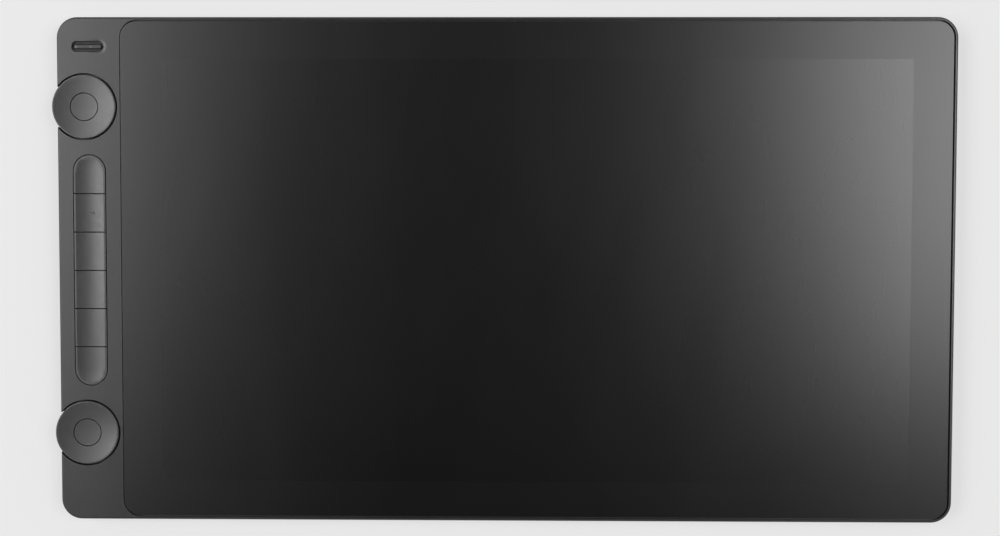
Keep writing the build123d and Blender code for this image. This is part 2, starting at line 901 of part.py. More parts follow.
plunger_bore = plunger_diameter + 2 * plunger_gap
make_switches("key_switches", key_places, switch_side, switch_height, switch_floor, plunger_bore)
make_switches("power_switch", [power_place], switch_side, switch_height, switch_floor, plunger_bore)

# Frame under the key slot: a shallow tray with a hole for each key's stem
frame_half_width = key_slot_width / 2 + key_flange + key_frame_side_gap

with BuildPart() as key_frame:
    frame_width = 2 * (frame_half_width + key_frame_wall)
    frame_length = key_slot_length - key_slot_width + frame_width
    with BuildSketch(Plane.XY.offset(frame_bottom)):
        with Locations((key_x, strip_y)):
            SlotOverall(frame_length, frame_width, rotation=90)
    extrude(amount=strip_under - frame_bottom)
    with BuildSketch(Plane.XY.offset(frame_top)):
        with Locations((key_x, strip_y)):
            SlotOverall(
                frame_length - 2 * key_frame_wall, frame_width - 2 * key_frame_wall, rotation=90
            )
    extrude(amount=strip_under - frame_top, mode=Mode.SUBTRACT)
    with BuildSketch(Plane.XY.offset(frame_bottom)):
        with Locations(*key_places):
            Rectangle(key_stem_side + 2 * stem_gap, key_stem_side + 2 * stem_gap)
    extrude(amount=key_frame_floor, mode=Mode.SUBTRACT)
save(key_frame, "key_frame")

# The long dish that all the keys share, a trough with round ends
key_half_width = key_slot_width / 2 - key_groove
dish_half_width = key_half_width - key_land
key_dish_radius = (dish_half_width**2 + key_dish_depth**2) / (2 * key_dish_depth)
dish_run = key_slot_length - key_slot_width
key_dish_height = key_top - key_dish_depth + key_dish_radius

with BuildPart() as key_dish:
    with Locations((key_x, strip_y, key_dish_height)):
        Cylinder(key_dish_radius, dish_run, rotation=(90, 0, 0))
        with GridLocations(dish_run, dish_run, 1, 2):
            Sphere(key_dish_radius)


def key_plan(index, grow):
    """The plan of one key: its stretch of the slot's outline, grown sideways by this much."""
    width = 2 * (key_half_width + grow)
    length = dish_run + width
    stretch = key_pitch - key_split_gap
    place_x, place_y = key_places[index]
    with Locations((key_x, strip_y)):
        SlotOverall(length, width, rotation=90)
    if index == 0:
        far_end = strip_y + length / 2
        near_end = place_y - stretch / 2
    elif index == key_count - 1:
        far_end = place_y + stretch / 2
        near_end = strip_y - length / 2
    else:
        far_end = place_y + stretch / 2
        near_end = place_y - stretch / 2
    with Locations((place_x, (far_end + near_end) / 2)):
        Rectangle(width, far_end - near_end, mode=Mode.INTERSECT)


key_plunger_bottom = control_board_top + switch_floor + key_travel + plunger_gap

for index in range(key_count):
    with BuildPart() as key:
        with BuildSketch(Plane.XY.offset(flange_top)):
            key_plan(index, 0)
        extrude(amount=key_top - flange_top)
        fillet(key.faces().sort_by(Axis.Z)[-1].edges(), key_edge_round)
        add(key_dish.part, mode=Mode.SUBTRACT)
        with BuildSketch(Plane.XY.offset(flange_bottom)):
            key_plan(index, key_groove + key_flange)
        extrude(amount=key_flange_thickness)
        with BuildSketch(Plane.XY.offset(plunger_top)):
            with Locations(key_places[index]):
                Rectangle(key_stem_side, key_stem_side)
        extrude(amount=flange_bottom - plunger_top)
    save(key, "key_" + str(index + 1))
    make_plunger(
        "key_plunger_" + str(index + 1),
        key_places[index],
        plunger_diameter,
        key_plunger_bottom,
        plunger_top,
    )

# Dials: a dished ring on a hollow sleeve, with a push button in the middle
dial_dish_reach = dial_diameter / 2 - dial_top_round - dial_land
dial_dish_radius = (dial_dish_reach**2 + dial_dish_depth**2) / (2 * dial_dish_depth)
dial_dish_height = dial_top - dial_dish_depth + dial_dish_radius
hub_plunger_bottom = control_board_top + hub_switch_floor + hub_travel + plunger_gap
hub_places = list(dial_places.values())
hub_bore = hub_plunger_diameter + 2 * plunger_gap
make_switches(
    "dial_switches", hub_places, hub_switch_side, hub_switch_height, hub_switch_floor, hub_bore
)

for side, place in dial_places.items():
    with BuildPart() as dial:
        with BuildSketch(Plane.XY.offset(dial_bottom)):
            with Locations(place):
                Circle(dial_diameter / 2)
        extrude(amount=dial_height)
        fillet(dial.edges().sort_by(Axis.Z)[-1], dial_top_round)
        fillet(dial.edges().sort_by(Axis.Z)[0], dial_foot_round)
        with Locations((*place, dial_dish_height)):
            Sphere(dial_dish_radius, mode=Mode.SUBTRACT)
        with BuildSketch(Plane.XY.offset(sleeve_bottom)):
            with Locations(place):
                Circle(sleeve_diameter / 2)
        extrude(amount=dial_bottom - sleeve_bottom)
        with BuildSketch(Plane.XY.offset(dial_bottom + dial_web)):
            with Locations(place):
                Circle(hub_diameter / 2 + hub_gap)
        extrude(amount=dial_height, mode=Mode.SUBTRACT)
        with BuildSketch(Plane.XY.offset(sleeve_bottom)):
            with Locations(place):
                Circle(sleeve_bore / 2)
        extrude(amount=dial_bottom + dial_web - sleeve_bottom, mode=Mode.SUBTRACT)
    save(dial, side + "_dial")

    with BuildPart() as rotor:
        with BuildSketch(Plane.XY.offset(sleeve_bottom)):
            with Locations(place):
                Circle(sleeve_diameter / 2 + rotor_wall)
                Circle(sleeve_diameter / 2 + rotor_seat, mode=Mode.SUBTRACT)
        extrude(amount=rotor_height)
    save(rotor, side + "_dial_rotor")

    with BuildPart() as encoder:
        with BuildSketch(Plane.XY.offset(control_board_top)):
            with Locations(place):
                RectangleRounded(encoder_side, encoder_side, encoder_corner)
                Circle(sleeve_diameter / 2 + rotor_wall + encoder_gap, mode=Mode.SUBTRACT)
        extrude(amount=encoder_height)
    save(encoder, side + "_dial_encoder")

    with BuildPart() as dial_button:
        with BuildSketch(Plane.XY.offset(hub_bottom)):
            with Locations(place):
                Circle(hub_diameter / 2)
        extrude(amount=dial_top - hub_bottom)
        with Locations((*place, dial_dish_height)):
            Sphere(dial_dish_radius, mode=Mode.SUBTRACT)
        chamfer(dial_button.edges().sort_by(Axis.Z)[-1], hub_edge)
        with BuildSketch(Plane.XY.offset(hub_plunger_top)):
            with Locations(place):
                Circle(hub_stem_diameter / 2)
        extrude(amount=hub_bottom - hub_plunger_top)
    save(dial_button, side + "_dial_button")
    make_plunger(
        side + "_dial_plunger", place, hub_plunger_diameter, hub_plunger_bottom, hub_plunger_top
    )

# Power button: a rounded bar on a flange, with two indicator lenses let into it
power_bar_top = body_height - power_bar_drop
lens_places = [
    (power_place[0] + offset, power_place[1]) for offset in (lens_left_offset, lens_right_offset)
]

with BuildPart() as power_button:
    with BuildSketch(Plane.XY.offset(flange_top)):
        with Locations(power_place):
            SlotOverall(power_bar_width, power_bar_depth)
    extrude(amount=power_bar_top - flange_top)
    fillet(power_button.faces().sort_by(Axis.Z)[-1].edges(), power_bar_round)
    with BuildSketch(Plane.XY.offset(power_bar_top - lens_depth)):
        with Locations(*lens_places):
            Circle(lens_diameter / 2 + lens_seat)
    extrude(amount=lens_depth, mode=Mode.SUBTRACT)
    with BuildSketch(Plane.XY.offset(flange_bottom)):
        with Locations(power_place):
            SlotOverall(power_bar_width + 2 * power_flange, power_bar_depth + 2 * power_flange)
    extrude(amount=key_flange_thickness)
    with BuildSketch(Plane.XY.offset(plunger_top)):
        with Locations(power_place):
            Rectangle(power_stem_side, power_stem_side)
    extrude(amount=flange_bottom - plunger_top)
save(power_button, "power_button")

with BuildPart() as indicator_lenses:
    with BuildSketch(Plane.XY.offset(power_bar_top - lens_depth)):
        with Locations(*lens_places):
            Circle(lens_diameter / 2)
    extrude(amount=lens_depth)
save(indicator_lenses, "indicator_lenses")

make_plunger(
    "power_plunger",
    power_place,
    plunger_diameter,
    control_board_top + switch_floor + power_travel + plunger_gap,
    plunger_top,
)
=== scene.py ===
import math

import bmesh
import bpy
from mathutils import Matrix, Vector


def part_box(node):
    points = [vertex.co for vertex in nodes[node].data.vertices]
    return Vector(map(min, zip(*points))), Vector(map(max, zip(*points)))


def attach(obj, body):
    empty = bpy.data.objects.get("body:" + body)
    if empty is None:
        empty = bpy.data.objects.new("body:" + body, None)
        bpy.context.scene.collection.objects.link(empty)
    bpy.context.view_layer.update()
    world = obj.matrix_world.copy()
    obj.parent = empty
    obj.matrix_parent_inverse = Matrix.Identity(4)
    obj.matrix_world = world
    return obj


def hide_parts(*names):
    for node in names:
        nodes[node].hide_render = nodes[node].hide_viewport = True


bl_info = {
    "name": "Pen Display Dresser",
    "version": (1, 0, 0),
    "blender": (4, 5, 0),
    "location": "View3D > Sidebar > Pen Display",
    "description": "Gives a pen display its glass, keys, dials and finishes, and a small studio",
    "category": "Object",
}

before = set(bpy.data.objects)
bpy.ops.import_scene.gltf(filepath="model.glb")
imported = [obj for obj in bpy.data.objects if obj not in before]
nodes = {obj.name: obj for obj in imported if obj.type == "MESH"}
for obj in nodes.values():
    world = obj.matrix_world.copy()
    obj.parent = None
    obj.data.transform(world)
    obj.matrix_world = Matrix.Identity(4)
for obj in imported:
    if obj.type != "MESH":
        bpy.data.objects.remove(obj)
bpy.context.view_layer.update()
MM = 0.001
CLOSE = 0.01 * MM
KEYS = ["key_" + str(number) for number in range(1, 7)]
SIDES = ("upper", "lower")
CONTACTS = 12


# Settings that a user would change


def number(name, default, description, **limits):
    """A setting of one value."""
    return bpy.props.FloatProperty(name=name, description=description, default=default, **limits)


def numbers(name, default, description, **limits):
    """A setting of two or three values."""
    return bpy.props.FloatVectorProperty(
        name=name, description=description, default=default, size=len(default), **limits
    )


def length(name, millimetres, description):
    """A length setting, given in millimetres."""
    limits = {"min": 0.0, "precision": 5, "subtype": "DISTANCE", "unit": "LENGTH"}
    return number(name, millimetres * MM, description, **limits)


def colour(name, default, description):
    """A colour setting."""
    return numbers(name, default, description, min=0.0, max=1.0, subtype="COLOR")


def share(name, default, description):
    """A setting from nothing to all."""
    return number(name, default, description, min=0.0, max=1.0, subtype="FACTOR")


def spot(name, default, description):
    """A place in the studio, in metres."""
    return numbers(name, default, description, subtype="TRANSLATION", unit="LENGTH")


class PenDisplaySizes(bpy.types.PropertyGroup):
    """Sizes of the pieces that are modelled here."""

    glass_corner: length("Glass Corner", 7.5, "Radius of the corners of the cover glass")
    glass_edge: length("Glass Edge", 0.1, "Round on the upper edge of the cover glass")
    glass_reach: length("Glass Reach", 0.2, "How far the glass closes its gap beside the strip")
    window_width: length("Window Width", 347.7, "Width of the clear window in the black print")
    window_depth: length("Window Depth", 196.3, "Depth of that window over the desk")
    window_left: length("Window From Left", 47.5, "From the left side of the body to the window")
    window_top: length("Window From Top", 19.3, "From the far side of the body to the window")
    key_reach: length("Key Flange Reach", 1.3, "How far a key's flange passes its cap")
    key_flange: length("Key Flange", 0.8, "Thickness of the flange under a key cap")
    key_stem: length("Key Stem Height", 2.1, "Height of the stem under a key's flange")
    key_stem_side: length("Key Stem", 5.0, "Side of the square stem")
    key_stretch: length("Key Stretch", 17.43, "Length of an end key without its round end")
    key_edge: length("Key Edge", 0.15, "Round on the upper edge of a key")
    key_land: length("Key Land", 0.85, "Flat rim beside the dish of the keys")
    key_dish: length("Key Dish", 0.4, "Depth of the dish that the keys share")
    bar_width: length("Finding Bar Width", 3.6, "Width of the small bar for the finger")
    bar_depth: length("Finding Bar Depth", 1.1, "Depth of that bar along the key row")
    bar_end: length("Finding Bar End", 0.528, "Radius of the round ends of that bar")
    bar_height: length("Finding Bar Height", 0.22, "How far that bar stands out of the dish")
    bar_edge: length("Finding Bar Edge", 0.154, "Round on the upper edge of that bar")
    bar_shift: length("Finding Bar Shift", 0.4, "How far right of its key's middle that bar lies")
    recess_width: length("Recess Width", 15.1, "Width of the recess round the power bar")
    recess_depth: length("Recess Depth", 5.05, "Depth of that recess over the desk")
    recess_sink: length("Recess Sink", 0.14, "How far the skin sinks at its right rim")
    recess_skirt: length("Recess Skirt", 1.5, "Width of the band that sinks beside it")
    dial_height: length("Dial Height", 5.2, "Height of a dial without its sleeve")
    dial_edge: length("Dial Edge", 0.35, "Round on the upper edge of a dial")
    dial_foot: length("Dial Foot", 0.4, "Round on the lower edge of a dial")
    dial_land: length("Dial Land", 0.2, "Flat rim beside the dish of a dial")
    dial_dish: length("Dial Dish", 0.8, "Depth of the dish that dial and button share")
    dial_web: length("Dial Web", 1.2, "Thickness of the floor inside a dial")
    sleeve: length("Sleeve", 9.0, "Diameter of the sleeve under a dial")
    sleeve_bore: length("Sleeve Bore", 5.2, "Bore of the sleeve")
    hub_gap: length("Button Gap", 0.3, "Gap between a dial and its button")
    hub_edge: length("Button Edge", 0.15, "Bevel on the upper edge of a dial's button")
    hub_lift: length("Button Lift", 2.1, "From the foot of a dial to its button")
    hub_stem: length("Button Stem", 4.4, "Diameter of the stem under a dial's button")
    foot_width: length("Foot Width", 64.0, "Width of a rubber foot")
    foot_depth: length("Foot Depth", 10.0, "Depth of a rubber foot over the desk")
    foot_end: length("Foot End", 4.99, "Radius of the round ends of a foot")
    foot_edge: length("Foot Edge", 0.35, "Round on the lower edge of a foot")
    tongue: length("Tongue", 0.7, "Thickness of the tongue in a cable socket")
    contact_width: length("Contact Width", 0.26, "Width of one contact in a cable socket")
    contact_length: length("Contact Length", 3.4, "Length of one contact")
    contact_pitch: length("Contact Pitch", 0.5, "From one contact to the next")
    contact_height: length("Contact Height", 0.03, "How far a contact stands out of its tongue")


class PenDisplayFinishes(bpy.types.PropertyGroup):
    """Colours and shares of the finishes."""

    housing: colour("Housing", (0.0258, 0.0258, 0.0258), "Satin plastic of the housing")
    cover: colour("Cover", (0.024, 0.024, 0.024), "Matte plastic of the back cover")
    key: colour("Keys", (0.0410, 0.0410, 0.0410), "Plastic of the keys")
    dial: colour("Dials", (0.0465, 0.0465, 0.0465), "Plastic of the dials and their buttons")
    bar: colour("Power Bar", (0.0205, 0.0205, 0.0205), "Plastic of the power bar")
    border: colour("Glass Border", (0.0008, 0.0008, 0.0009), "Black print round the window")
    picture: colour("Dark Picture", (0.0005, 0.0005, 0.0006), "The screen while it is off")
    etching: share("Etching", 0.294, "Roughness of the glass over the print")
    window_gloss: share("Window Gloss", 0.018, "How much smoother the glass is over the window")
    print_level: share("Print Level", 0.455, "Specular level over the print")
    # The frame is drawn dark so that the gap round the glass reads dark: a painted shade.
    metal: colour("Cast Metal", (0.06, 0.06, 0.065), "Blackened frame inside the housing")
    steel: colour("Steel", (0.56, 0.56, 0.57), "Plates, sockets and small screws")
    mask: colour("Solder Mask", (0.012, 0.062, 0.036), "Lacquer of the circuit boards")
    film: colour("Ribbon", (0.40, 0.19, 0.04), "Film of the ribbon cables")
    rubber: colour("Rubber", (0.022, 0.022, 0.023), "Feet under the cover")
    wear: share("Wear", 0.35, "How far the edges are polished by use")
    drift: share("Colour Drift", 0.10, "How far a moulding's colour wanders")


class PenDisplayStudio(bpy.types.PropertyGroup):
    """Lamps, floor and camera."""

    lens: number("Lens", 50.0, "Focal length in millimetres", min=1.0, unit="CAMERA")
    sensor: number("Sensor", 36.0, "Width of the sensor in millimetres", min=1.0, unit="CAMERA")
    nearest: length("Nearest", 10.0, "Nearest distance the camera sees")
    camera_place: spot("Camera Place", (0.00796, 0.0292, 0.6562), "Where the camera hangs")
    camera_turn: numbers(
        "Camera Turn",
        tuple(math.radians(angle) for angle in (-2.48, 0.82, 0.10)),
        "How the camera leans from straight down",
        subtype="EULER",
        unit="ROTATION",
    )
    right_lamp: spot("Right Lamp", (1.051, 0.211, 1.921), "Place of the right softbox")
    left_lamp: spot("Left Lamp", (-1.256, 0.226, 1.792), "Place of the left softbox")
    right_size: numbers("Right Size", (0.943, 0.868), "Sides of the right softbox", unit="LENGTH")
    left_size: numbers("Left Size", (1.344, 0.849), "Sides of the left softbox", unit="LENGTH")
    right_power: number("Right Power", 19.4, "Power of the right softbox", unit="POWER")
    left_power: number("Left Power", 25.6, "Power of the left softbox", unit="POWER")
    ceiling: share("Ceiling", 0.0, "Brightness of the dark ceiling")
    walls: share("Walls", 0.80, "Brightness of the pale walls")
    wall_top: share("Wall Top", 0.40, "Rise at which the walls start to darken")
    ceiling_start: share("Ceiling Start", 0.66, "Rise at which the ceiling is reached")
    floor: colour("Floor", (0.83, 0.83, 0.83), "Colour of the floor")
    floor_glow: share("Floor Glow", 0.7, "Share of the floor's look that no shadow darkens")
    floor_side: length("Floor Side", 6000.0, "Side of the floor")


# Material nodes


def feed(tree, node, inputs):
    """Sets or links the inputs of a node by name or number."""
    for key, value in inputs.items():
        if isinstance(value, bpy.types.NodeSocket):
            tree.links.new(value, node.inputs[key])
        else:
            node.inputs[key].default_value = value


def add_node(tree, kind, inputs=None, **settings):
    """Adds a shader node of a kind, sets it up and feeds it."""
    node = tree.nodes.new("ShaderNode" + kind)
    for key, value in settings.items():
        setattr(node, key, value)
    feed(tree, node, inputs or {})
    return node


def begin(name):
    """Starts a material: its node tree, its shader and the object coordinates."""
    material = bpy.data.materials.new(name)
    material.use_nodes = True
    tree = material.node_tree
    tree.nodes.clear()
    shader = add_node(tree, "BsdfPrincipled")
    add_node(tree, "OutputMaterial", {"Surface": shader.outputs[0]})
    place = add_node(tree, "TexCoord").outputs["Object"]
    return material, tree, shader, place


def axes_of(tree, place):
    """A place split into its coordinates."""
    return add_node(tree, "SeparateXYZ", {0: place}).outputs


def noise(tree, place, size, detail=2.0):
    """Soft noise with blotches of about this size."""
    inputs = {"Vector": place, "Scale": 1 / size, "Detail": detail}
    return add_node(tree, "TexNoise", inputs).outputs[0]


def cells(tree, place, size):
    """Distance to the middle of the nearest cell."""
    inputs = {"Vector": place, "Scale": 1 / size}
    return add_node(tree, "TexVoronoi", inputs).outputs["Distance"]


def scaled(tree, place, factors, turn=0.0):
    """Coordinates stretched along each axis, and turned about the vertical."""
    inputs = {"Vector": place, "Scale": factors, "Rotation": (0.0, 0.0, turn)}
    return add_node(tree, "Mapping", inputs).outputs[0]


def maths(tree, operation, *values):
    """One operation on values or sockets."""
    node = add_node(tree, "Math", dict(enumerate(values)), operation=operation)
    return node.outputs[0]


def times(tree, first, second):
    """A product."""
    return maths(tree, "MULTIPLY", first, second)


def plus(tree, first, second, weight=1.0):
    """A value and a share of a second one."""
    return maths(tree, "MULTIPLY_ADD", second, weight, first)


def from_middle(tree, along, start, end):
    """How far a coordinate lies from the middle of a range."""
    return maths(tree, "ABSOLUTE", maths(tree, "SUBTRACT", along, (start + end) / 2))


def stripes(tree, along, pitch):
    """A wave that comes back at this pitch."""
    return maths(tree, "SINE", times(tree, along, 2 * math.pi / pitch))


def fit(tree, value, low, high, to_low=0.0, to_high=1.0):
    """Maps a range of a value onto another range, and clamps it there."""
    names = ("Value", "From Min", "From Max", "To Min", "To Max")
    inputs = dict(zip(names, (value, low, high, to_low, to_high)))
    return add_node(tree, "MapRange", inputs).outputs[0]


def spread(tree, pattern, start, end):
    """Spreads soft noise over a range of values."""
    return fit(tree, pattern, 0.3, 0.7, start, end)


def blend(tree, factor, first, second):
    """Mixes two colours."""
    inputs = {0: factor}
    for number, tint in ((6, first), (7, second)):
        inputs[number] = tint if isinstance(tint, bpy.types.NodeSocket) else (*tint, 1.0)
    return add_node(tree, "Mix", inputs, data_type="RGBA").outputs[2]


def relief(tree, shader, height, depth):
    """Raises the surface by a pattern, on top of any earlier one."""
    inputs = {"Strength": 1.0, "Distance": depth, "Height": height}
    bump = add_node(tree, "Bump", inputs)
    normal = shader.inputs["Normal"]
    if normal.is_linked:
        tree.links.new(normal.links[0].from_socket, bump.inputs["Normal"])
    tree.links.new(bump.outputs[0], normal)


def coat(material, shader, shade, rough, height, depth, more=None):
    """Ends a material: its colour, roughness and relief, and more inputs by name."""
    tree = material.node_tree
    feed(tree, shader, {"Base Color": shade, "Roughness": rough, **(more or {})})
    relief(tree, shader, height, depth)
    return material


def dimmer(tint, factor):
    """A colour made darker or lighter."""
    return tuple(min(channel * factor, 1.0) for channel in tint)


def edge_mask(tree, place):
    """Where a surface turns from flat to upright, broken up like rubbed edges."""
    normal = add_node(tree, "TexCoord").outputs["Normal"]
    lean = maths(tree, "ABSOLUTE", axes_of(tree, normal)["Z"])
    band = times(tree, fit(tree, lean, 0.05, 0.35), fit(tree, lean, 0.99, 0.80))
    return times(tree, band, fit(tree, noise(tree, place, 5 * MM, 4.0), 0.35, 0.70))


def inside_box(tree, place, low, high):
    """One inside a box, nought outside, with a soft edge."""
    axes = axes_of(tree, place)
    softness = 0.1 * MM
    inside = 1.0
    for axis, start, end in zip("XYZ", low, high):
        half = (end - start) / 2
        away = from_middle(tree, axes[axis], start, end)
        inside = times(tree, inside, fit(tree, away, half + softness, half - softness))
    return inside


def sunk_skirt(tree, place, low, high, width):
    """One on the right end of a round-ended rim, falling to nought over its skirt."""
    axes = axes_of(tree, place)
    radius = (high.y - low.y) / 2
    away = 0.0
    for axis, start, end in zip("XY", low, high):
        straight = (end - start) / 2 - radius
        past = maths(tree, "SUBTRACT", from_middle(tree, axes[axis], start, end), straight)
        past = maths(tree, "MAXIMUM", past, 0.0)
        away = plus(tree, away, times(tree, past, past))
    near = fit(tree, maths(tree, "SQRT", away), radius + width, radius)
    to_the_right = fit(tree, axes["X"], (low.x + high.x) / 2, high.x)
    return times(tree, times(tree, near, near), to_the_right)


# Finishes


def moulding(name, tint, finishes, roughness, grain, depth, wear=1.0, dust=0.0, recess=None):
    """Moulded plastic: spark grain, drifting colour, edges polished by use, painted shade in a recess."""
    material, tree, shader, place = begin(name)
    cloud = noise(tree, place, 55 * MM, 3.0)
    speck = noise(tree, place, 2.2 * MM, 3.0)
    drift = fit(tree, plus(tree, times(tree, cloud, 0.7), speck, 0.3), 0.35, 0.65)
    dark, light = dimmer(tint, 1 - finishes.drift), dimmer(tint, 1 + finishes.drift)
    shade = blend(tree, drift, dark, light)
    worn = times(tree, edge_mask(tree, place), wear * finishes.wear)
    shade = blend(tree, worn, shade, dimmer(tint, 1.8))
    smear = noise(tree, scaled(tree, place, (1.0, 0.45, 1.0), 0.5), 18 * MM, 2.0)
    rough = spread(tree, speck, roughness - 0.03, roughness + 0.03)
    rough = plus(tree, rough, fit(tree, smear, 0.4, 0.7, 0.0, 0.04))
    rough = plus(tree, rough, worn, -0.12)
    if recess:
        low, high, sink, skirt = recess
        shaded_rough_recess = inside_box(tree, place, low, high)
        # Painted shade: inside the recess the colour is drawn at 0.7 of the tint. The recess is also
        # rougher.
        shade = blend(tree, shaded_rough_recess, shade, dimmer(tint, 0.7))
        rough = plus(tree, rough, shaded_rough_recess, 0.28)
        relief(tree, shader, sunk_skirt(tree, place, low, high, skirt), -sink)
    if dust:
        motes = fit(tree, cells(tree, place, 3.1 * MM), 0.05, 0.02)
        shade = blend(tree, times(tree, motes, dust), shade, (0.4, 0.4, 0.39))
    pits = plus(tree, noise(tree, place, grain, 2.0), cells(tree, place, 2.5 * grain))
    return coat(material, shader, shade, rough, pits, depth, {"IOR": 1.5})


def control_plastic(name, tint, finishes, roughness=0.30):
    """The fine-grained plastic of the keys, the dials and the power bar."""
    return moulding(name, tint, finishes, roughness, grain=0.16 * MM, depth=0.0008 * MM)


def etched_glass(sizes, finishes):
    """Anti-glare glass: its window and the black print show faintly through the etching."""
    material, tree, shader, place = begin("etched_glass")
    low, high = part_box("front_housing")
    window = Vector((sizes.window_width, sizes.window_depth))
    corner = Vector((low.x + sizes.window_left, high.y - sizes.window_top - window.y))
    inside = inside_box(tree, place, corner, corner + window)
    haze = fit(tree, noise(tree, place, 80 * MM, 2.0), 0.4, 0.6, 0.0, 0.25)
    shade = blend(tree, inside, finishes.border, finishes.picture)
    shade = blend(tree, haze, shade, dimmer(finishes.picture, 1.6))
    smudge = noise(tree, scaled(tree, place, (1.0, 0.35, 1.0), 0.6), 30 * MM, 3.0)
    rough = spread(tree, smudge, finishes.etching - 0.007, finishes.etching + 0.007)
    rough = plus(tree, rough, inside, -finishes.window_gloss)
    level = fit(tree, inside, 0.0, 1.0, finishes.print_level, 0.5)
    tooth = noise(tree, place, 0.12 * MM, 1.0)
    more = {"IOR": 1.6, "Specular IOR Level": level}
    return coat(material, shader, shade, rough, tooth, 0.0002 * MM, more)


def metal(name, tint, roughness, lines=(1.0, 1.0, 1.0), grain=0.5 * MM, depth=0.004 * MM):
    """Bare or blackened metal, with rolling or casting marks drawn out along one axis."""
    material, tree, shader, place = begin(name)
    drawn = noise(tree, scaled(tree, place, lines), grain, 4.0)
    stain = noise(tree, place, 12 * MM, 4.0)
    shade = blend(tree, spread(tree, drawn, 0.0, 1.0), dimmer(tint, 0.86), dimmer(tint, 1.08))
    shade = blend(tree, fit(tree, stain, 0.5, 0.8, 0.0, 0.35), shade, dimmer(tint, 0.7))
    rough = spread(tree, drawn, roughness - 0.06, roughness + 0.06)
    rough = plus(tree, rough, fit(tree, stain, 0.5, 0.8, 0.0, 0.12))
    return coat(material, shader, shade, rough, drawn, depth, {"Metallic": 1.0})


def circuit(finishes):
    """A lacquered board: copper tracks under the mask, tinned pads and a fine weave."""
    material, tree, shader, place = begin("board")
    patch = fit(tree, noise(tree, place, 7 * MM, 0.0), 0.49, 0.51)
    tracks = []
    for factors in ((1.0, 0.08, 1.0), (0.08, 1.0, 1.0)):
        lane = noise(tree, scaled(tree, place, factors), 0.8 * MM, 0.0)
        tracks.append(fit(tree, from_middle(tree, lane, 0.0, 1.0), 0.05, 0.03))
    track = add_node(tree, "Mix", {0: patch, 2: tracks[0], 3: tracks[1]}).outputs[0]
    pads = fit(tree, cells(tree, place, 3.4 * MM), 0.16, 0.13)
    weave = noise(tree, place, 0.5 * MM, 1.0)
    shade = blend(tree, track, finishes.mask, dimmer(finishes.mask, 2.1))
    shade = blend(tree, spread(tree, weave, 0.0, 0.25), shade, dimmer(finishes.mask, 0.6))
    shade = blend(tree, pads, shade, (0.62, 0.6, 0.55))
    rough = spread(tree, weave, 0.26, 0.38)
    height = plus(tree, track, pads, 0.8)
    return coat(material, shader, shade, rough, height, 0.02 * MM, {"Metallic": pads})


def ribbon(name, finishes, turn):
    """A flat cable: conductors side by side under amber film."""
    material, tree, shader, place = begin(name)
    across = axes_of(tree, scaled(tree, place, (1.0, 1.0, 1.0), turn))["X"]
    core = fit(tree, stripes(tree, across, 0.5 * MM), -0.2, 0.2)
    haze = noise(tree, place, 6 * MM, 3.0)
    shade = blend(tree, core, finishes.film, dimmer(finishes.film, 1.7))
    shade = blend(tree, fit(tree, haze, 0.4, 0.7, 0.0, 0.3), shade, dimmer(finishes.film, 0.7))
    rough = spread(tree, haze, 0.22, 0.36)
    return coat(material, shader, shade, rough, core, 0.01 * MM)


def sheet_film(name, tint, roughness, dots, depth, pearl):
    """Optical film or panel glass: dots at a fine pitch under a haze."""
    material, tree, shader, place = begin(name)
    dot = fit(tree, cells(tree, place, dots), 0.28, 0.20)
    haze = noise(tree, place, 40 * MM, 3.0)
    shade = blend(tree, fit(tree, haze, 0.35, 0.65), dimmer(tint, 0.94), dimmer(tint, 1.03))
    shade = blend(tree, times(tree, dot, 0.3), shade, dimmer(tint, 1.25))
    rough = spread(tree, haze, roughness - 0.04, roughness + 0.06)
    return coat(material, shader, shade, rough, dot, depth, {"Sheen Weight": pearl})


def soft(name, tint, roughness, pore, depth, ribs=0.0):
    """Rubber, foam or tape: pores with painted shade, a dusty bloom, and ribs across a foot."""
    material, tree, shader, place = begin(name)
    holes = cells(tree, place, pore)
    bloom = noise(tree, place, 9 * MM, 4.0)
    shade = blend(tree, fit(tree, bloom, 0.4, 0.75), tint, dimmer(tint, 1.9))
    # Painted shade: the pores are drawn darker, down to half the tint.
    shade = blend(tree, fit(tree, holes, 0.35, 0.1, 0.0, 0.5), shade, dimmer(tint, 0.5))
    rough = spread(tree, bloom, roughness - 0.06, roughness + 0.05)
    height = holes
    if ribs:
        rib = fit(tree, stripes(tree, axes_of(tree, place)["X"], ribs), -0.6, 0.6)
        height = plus(tree, rib, holes, 0.2)
    return coat(material, shader, shade, rough, height, depth)


def lamp_lens(name):
    """Smoked light pipe, cloudy inside."""
    material, tree, shader, place = begin(name)
    cloud = noise(tree, place, 0.4 * MM, 3.0)
    shade = blend(tree, cloud, (0.05, 0.051, 0.052), (0.085, 0.086, 0.087))
    rough = spread(tree, cloud, 0.25, 0.4)
    more = {
        "Subsurface Weight": 0.2,
        "Subsurface Radius": (0.4, 0.4, 0.4),
        "Subsurface Scale": 0.5 * MM,
    }
    return coat(material, shader, shade, rough, cloud, 0.01 * MM, more)


def dress(material, *names):
    """Gives CAD nodes their material."""
    for name in names:
        nodes[name].material_slots[0].material = material


# Modelling helpers


def deselect():
    """Leaves no object selected."""
    bpy.ops.object.select_all(action="DESELECT")


def pick(*pieces):
    """Selects these pieces alone, with the first one active."""
    deselect()
    for piece in pieces:
        piece.select_set(True)
    bpy.context.view_layer.objects.active = pieces[0]


def settle():
    """Moves the active piece's place, turn and size into its mesh."""
    bpy.ops.object.transform_apply(location=True, rotation=True, scale=True)


def open_piece(name):
    """Names and settles the primitive that was just added, and puts it in edit mode."""
    piece = bpy.context.object
    piece.name = name
    settle()
    bpy.ops.object.mode_set(mode="EDIT")
    return piece


def add_block(name, low, high):
    """Adds a block between two corners, in edit mode with nothing selected."""
    deselect()
    low, high = Vector(low), Vector(high)
    bpy.ops.mesh.primitive_cube_add(size=1.0, location=(low + high) / 2, scale=high - low)
    piece = open_piece(name)
    bpy.ops.mesh.select_all(action="DESELECT")
    return piece


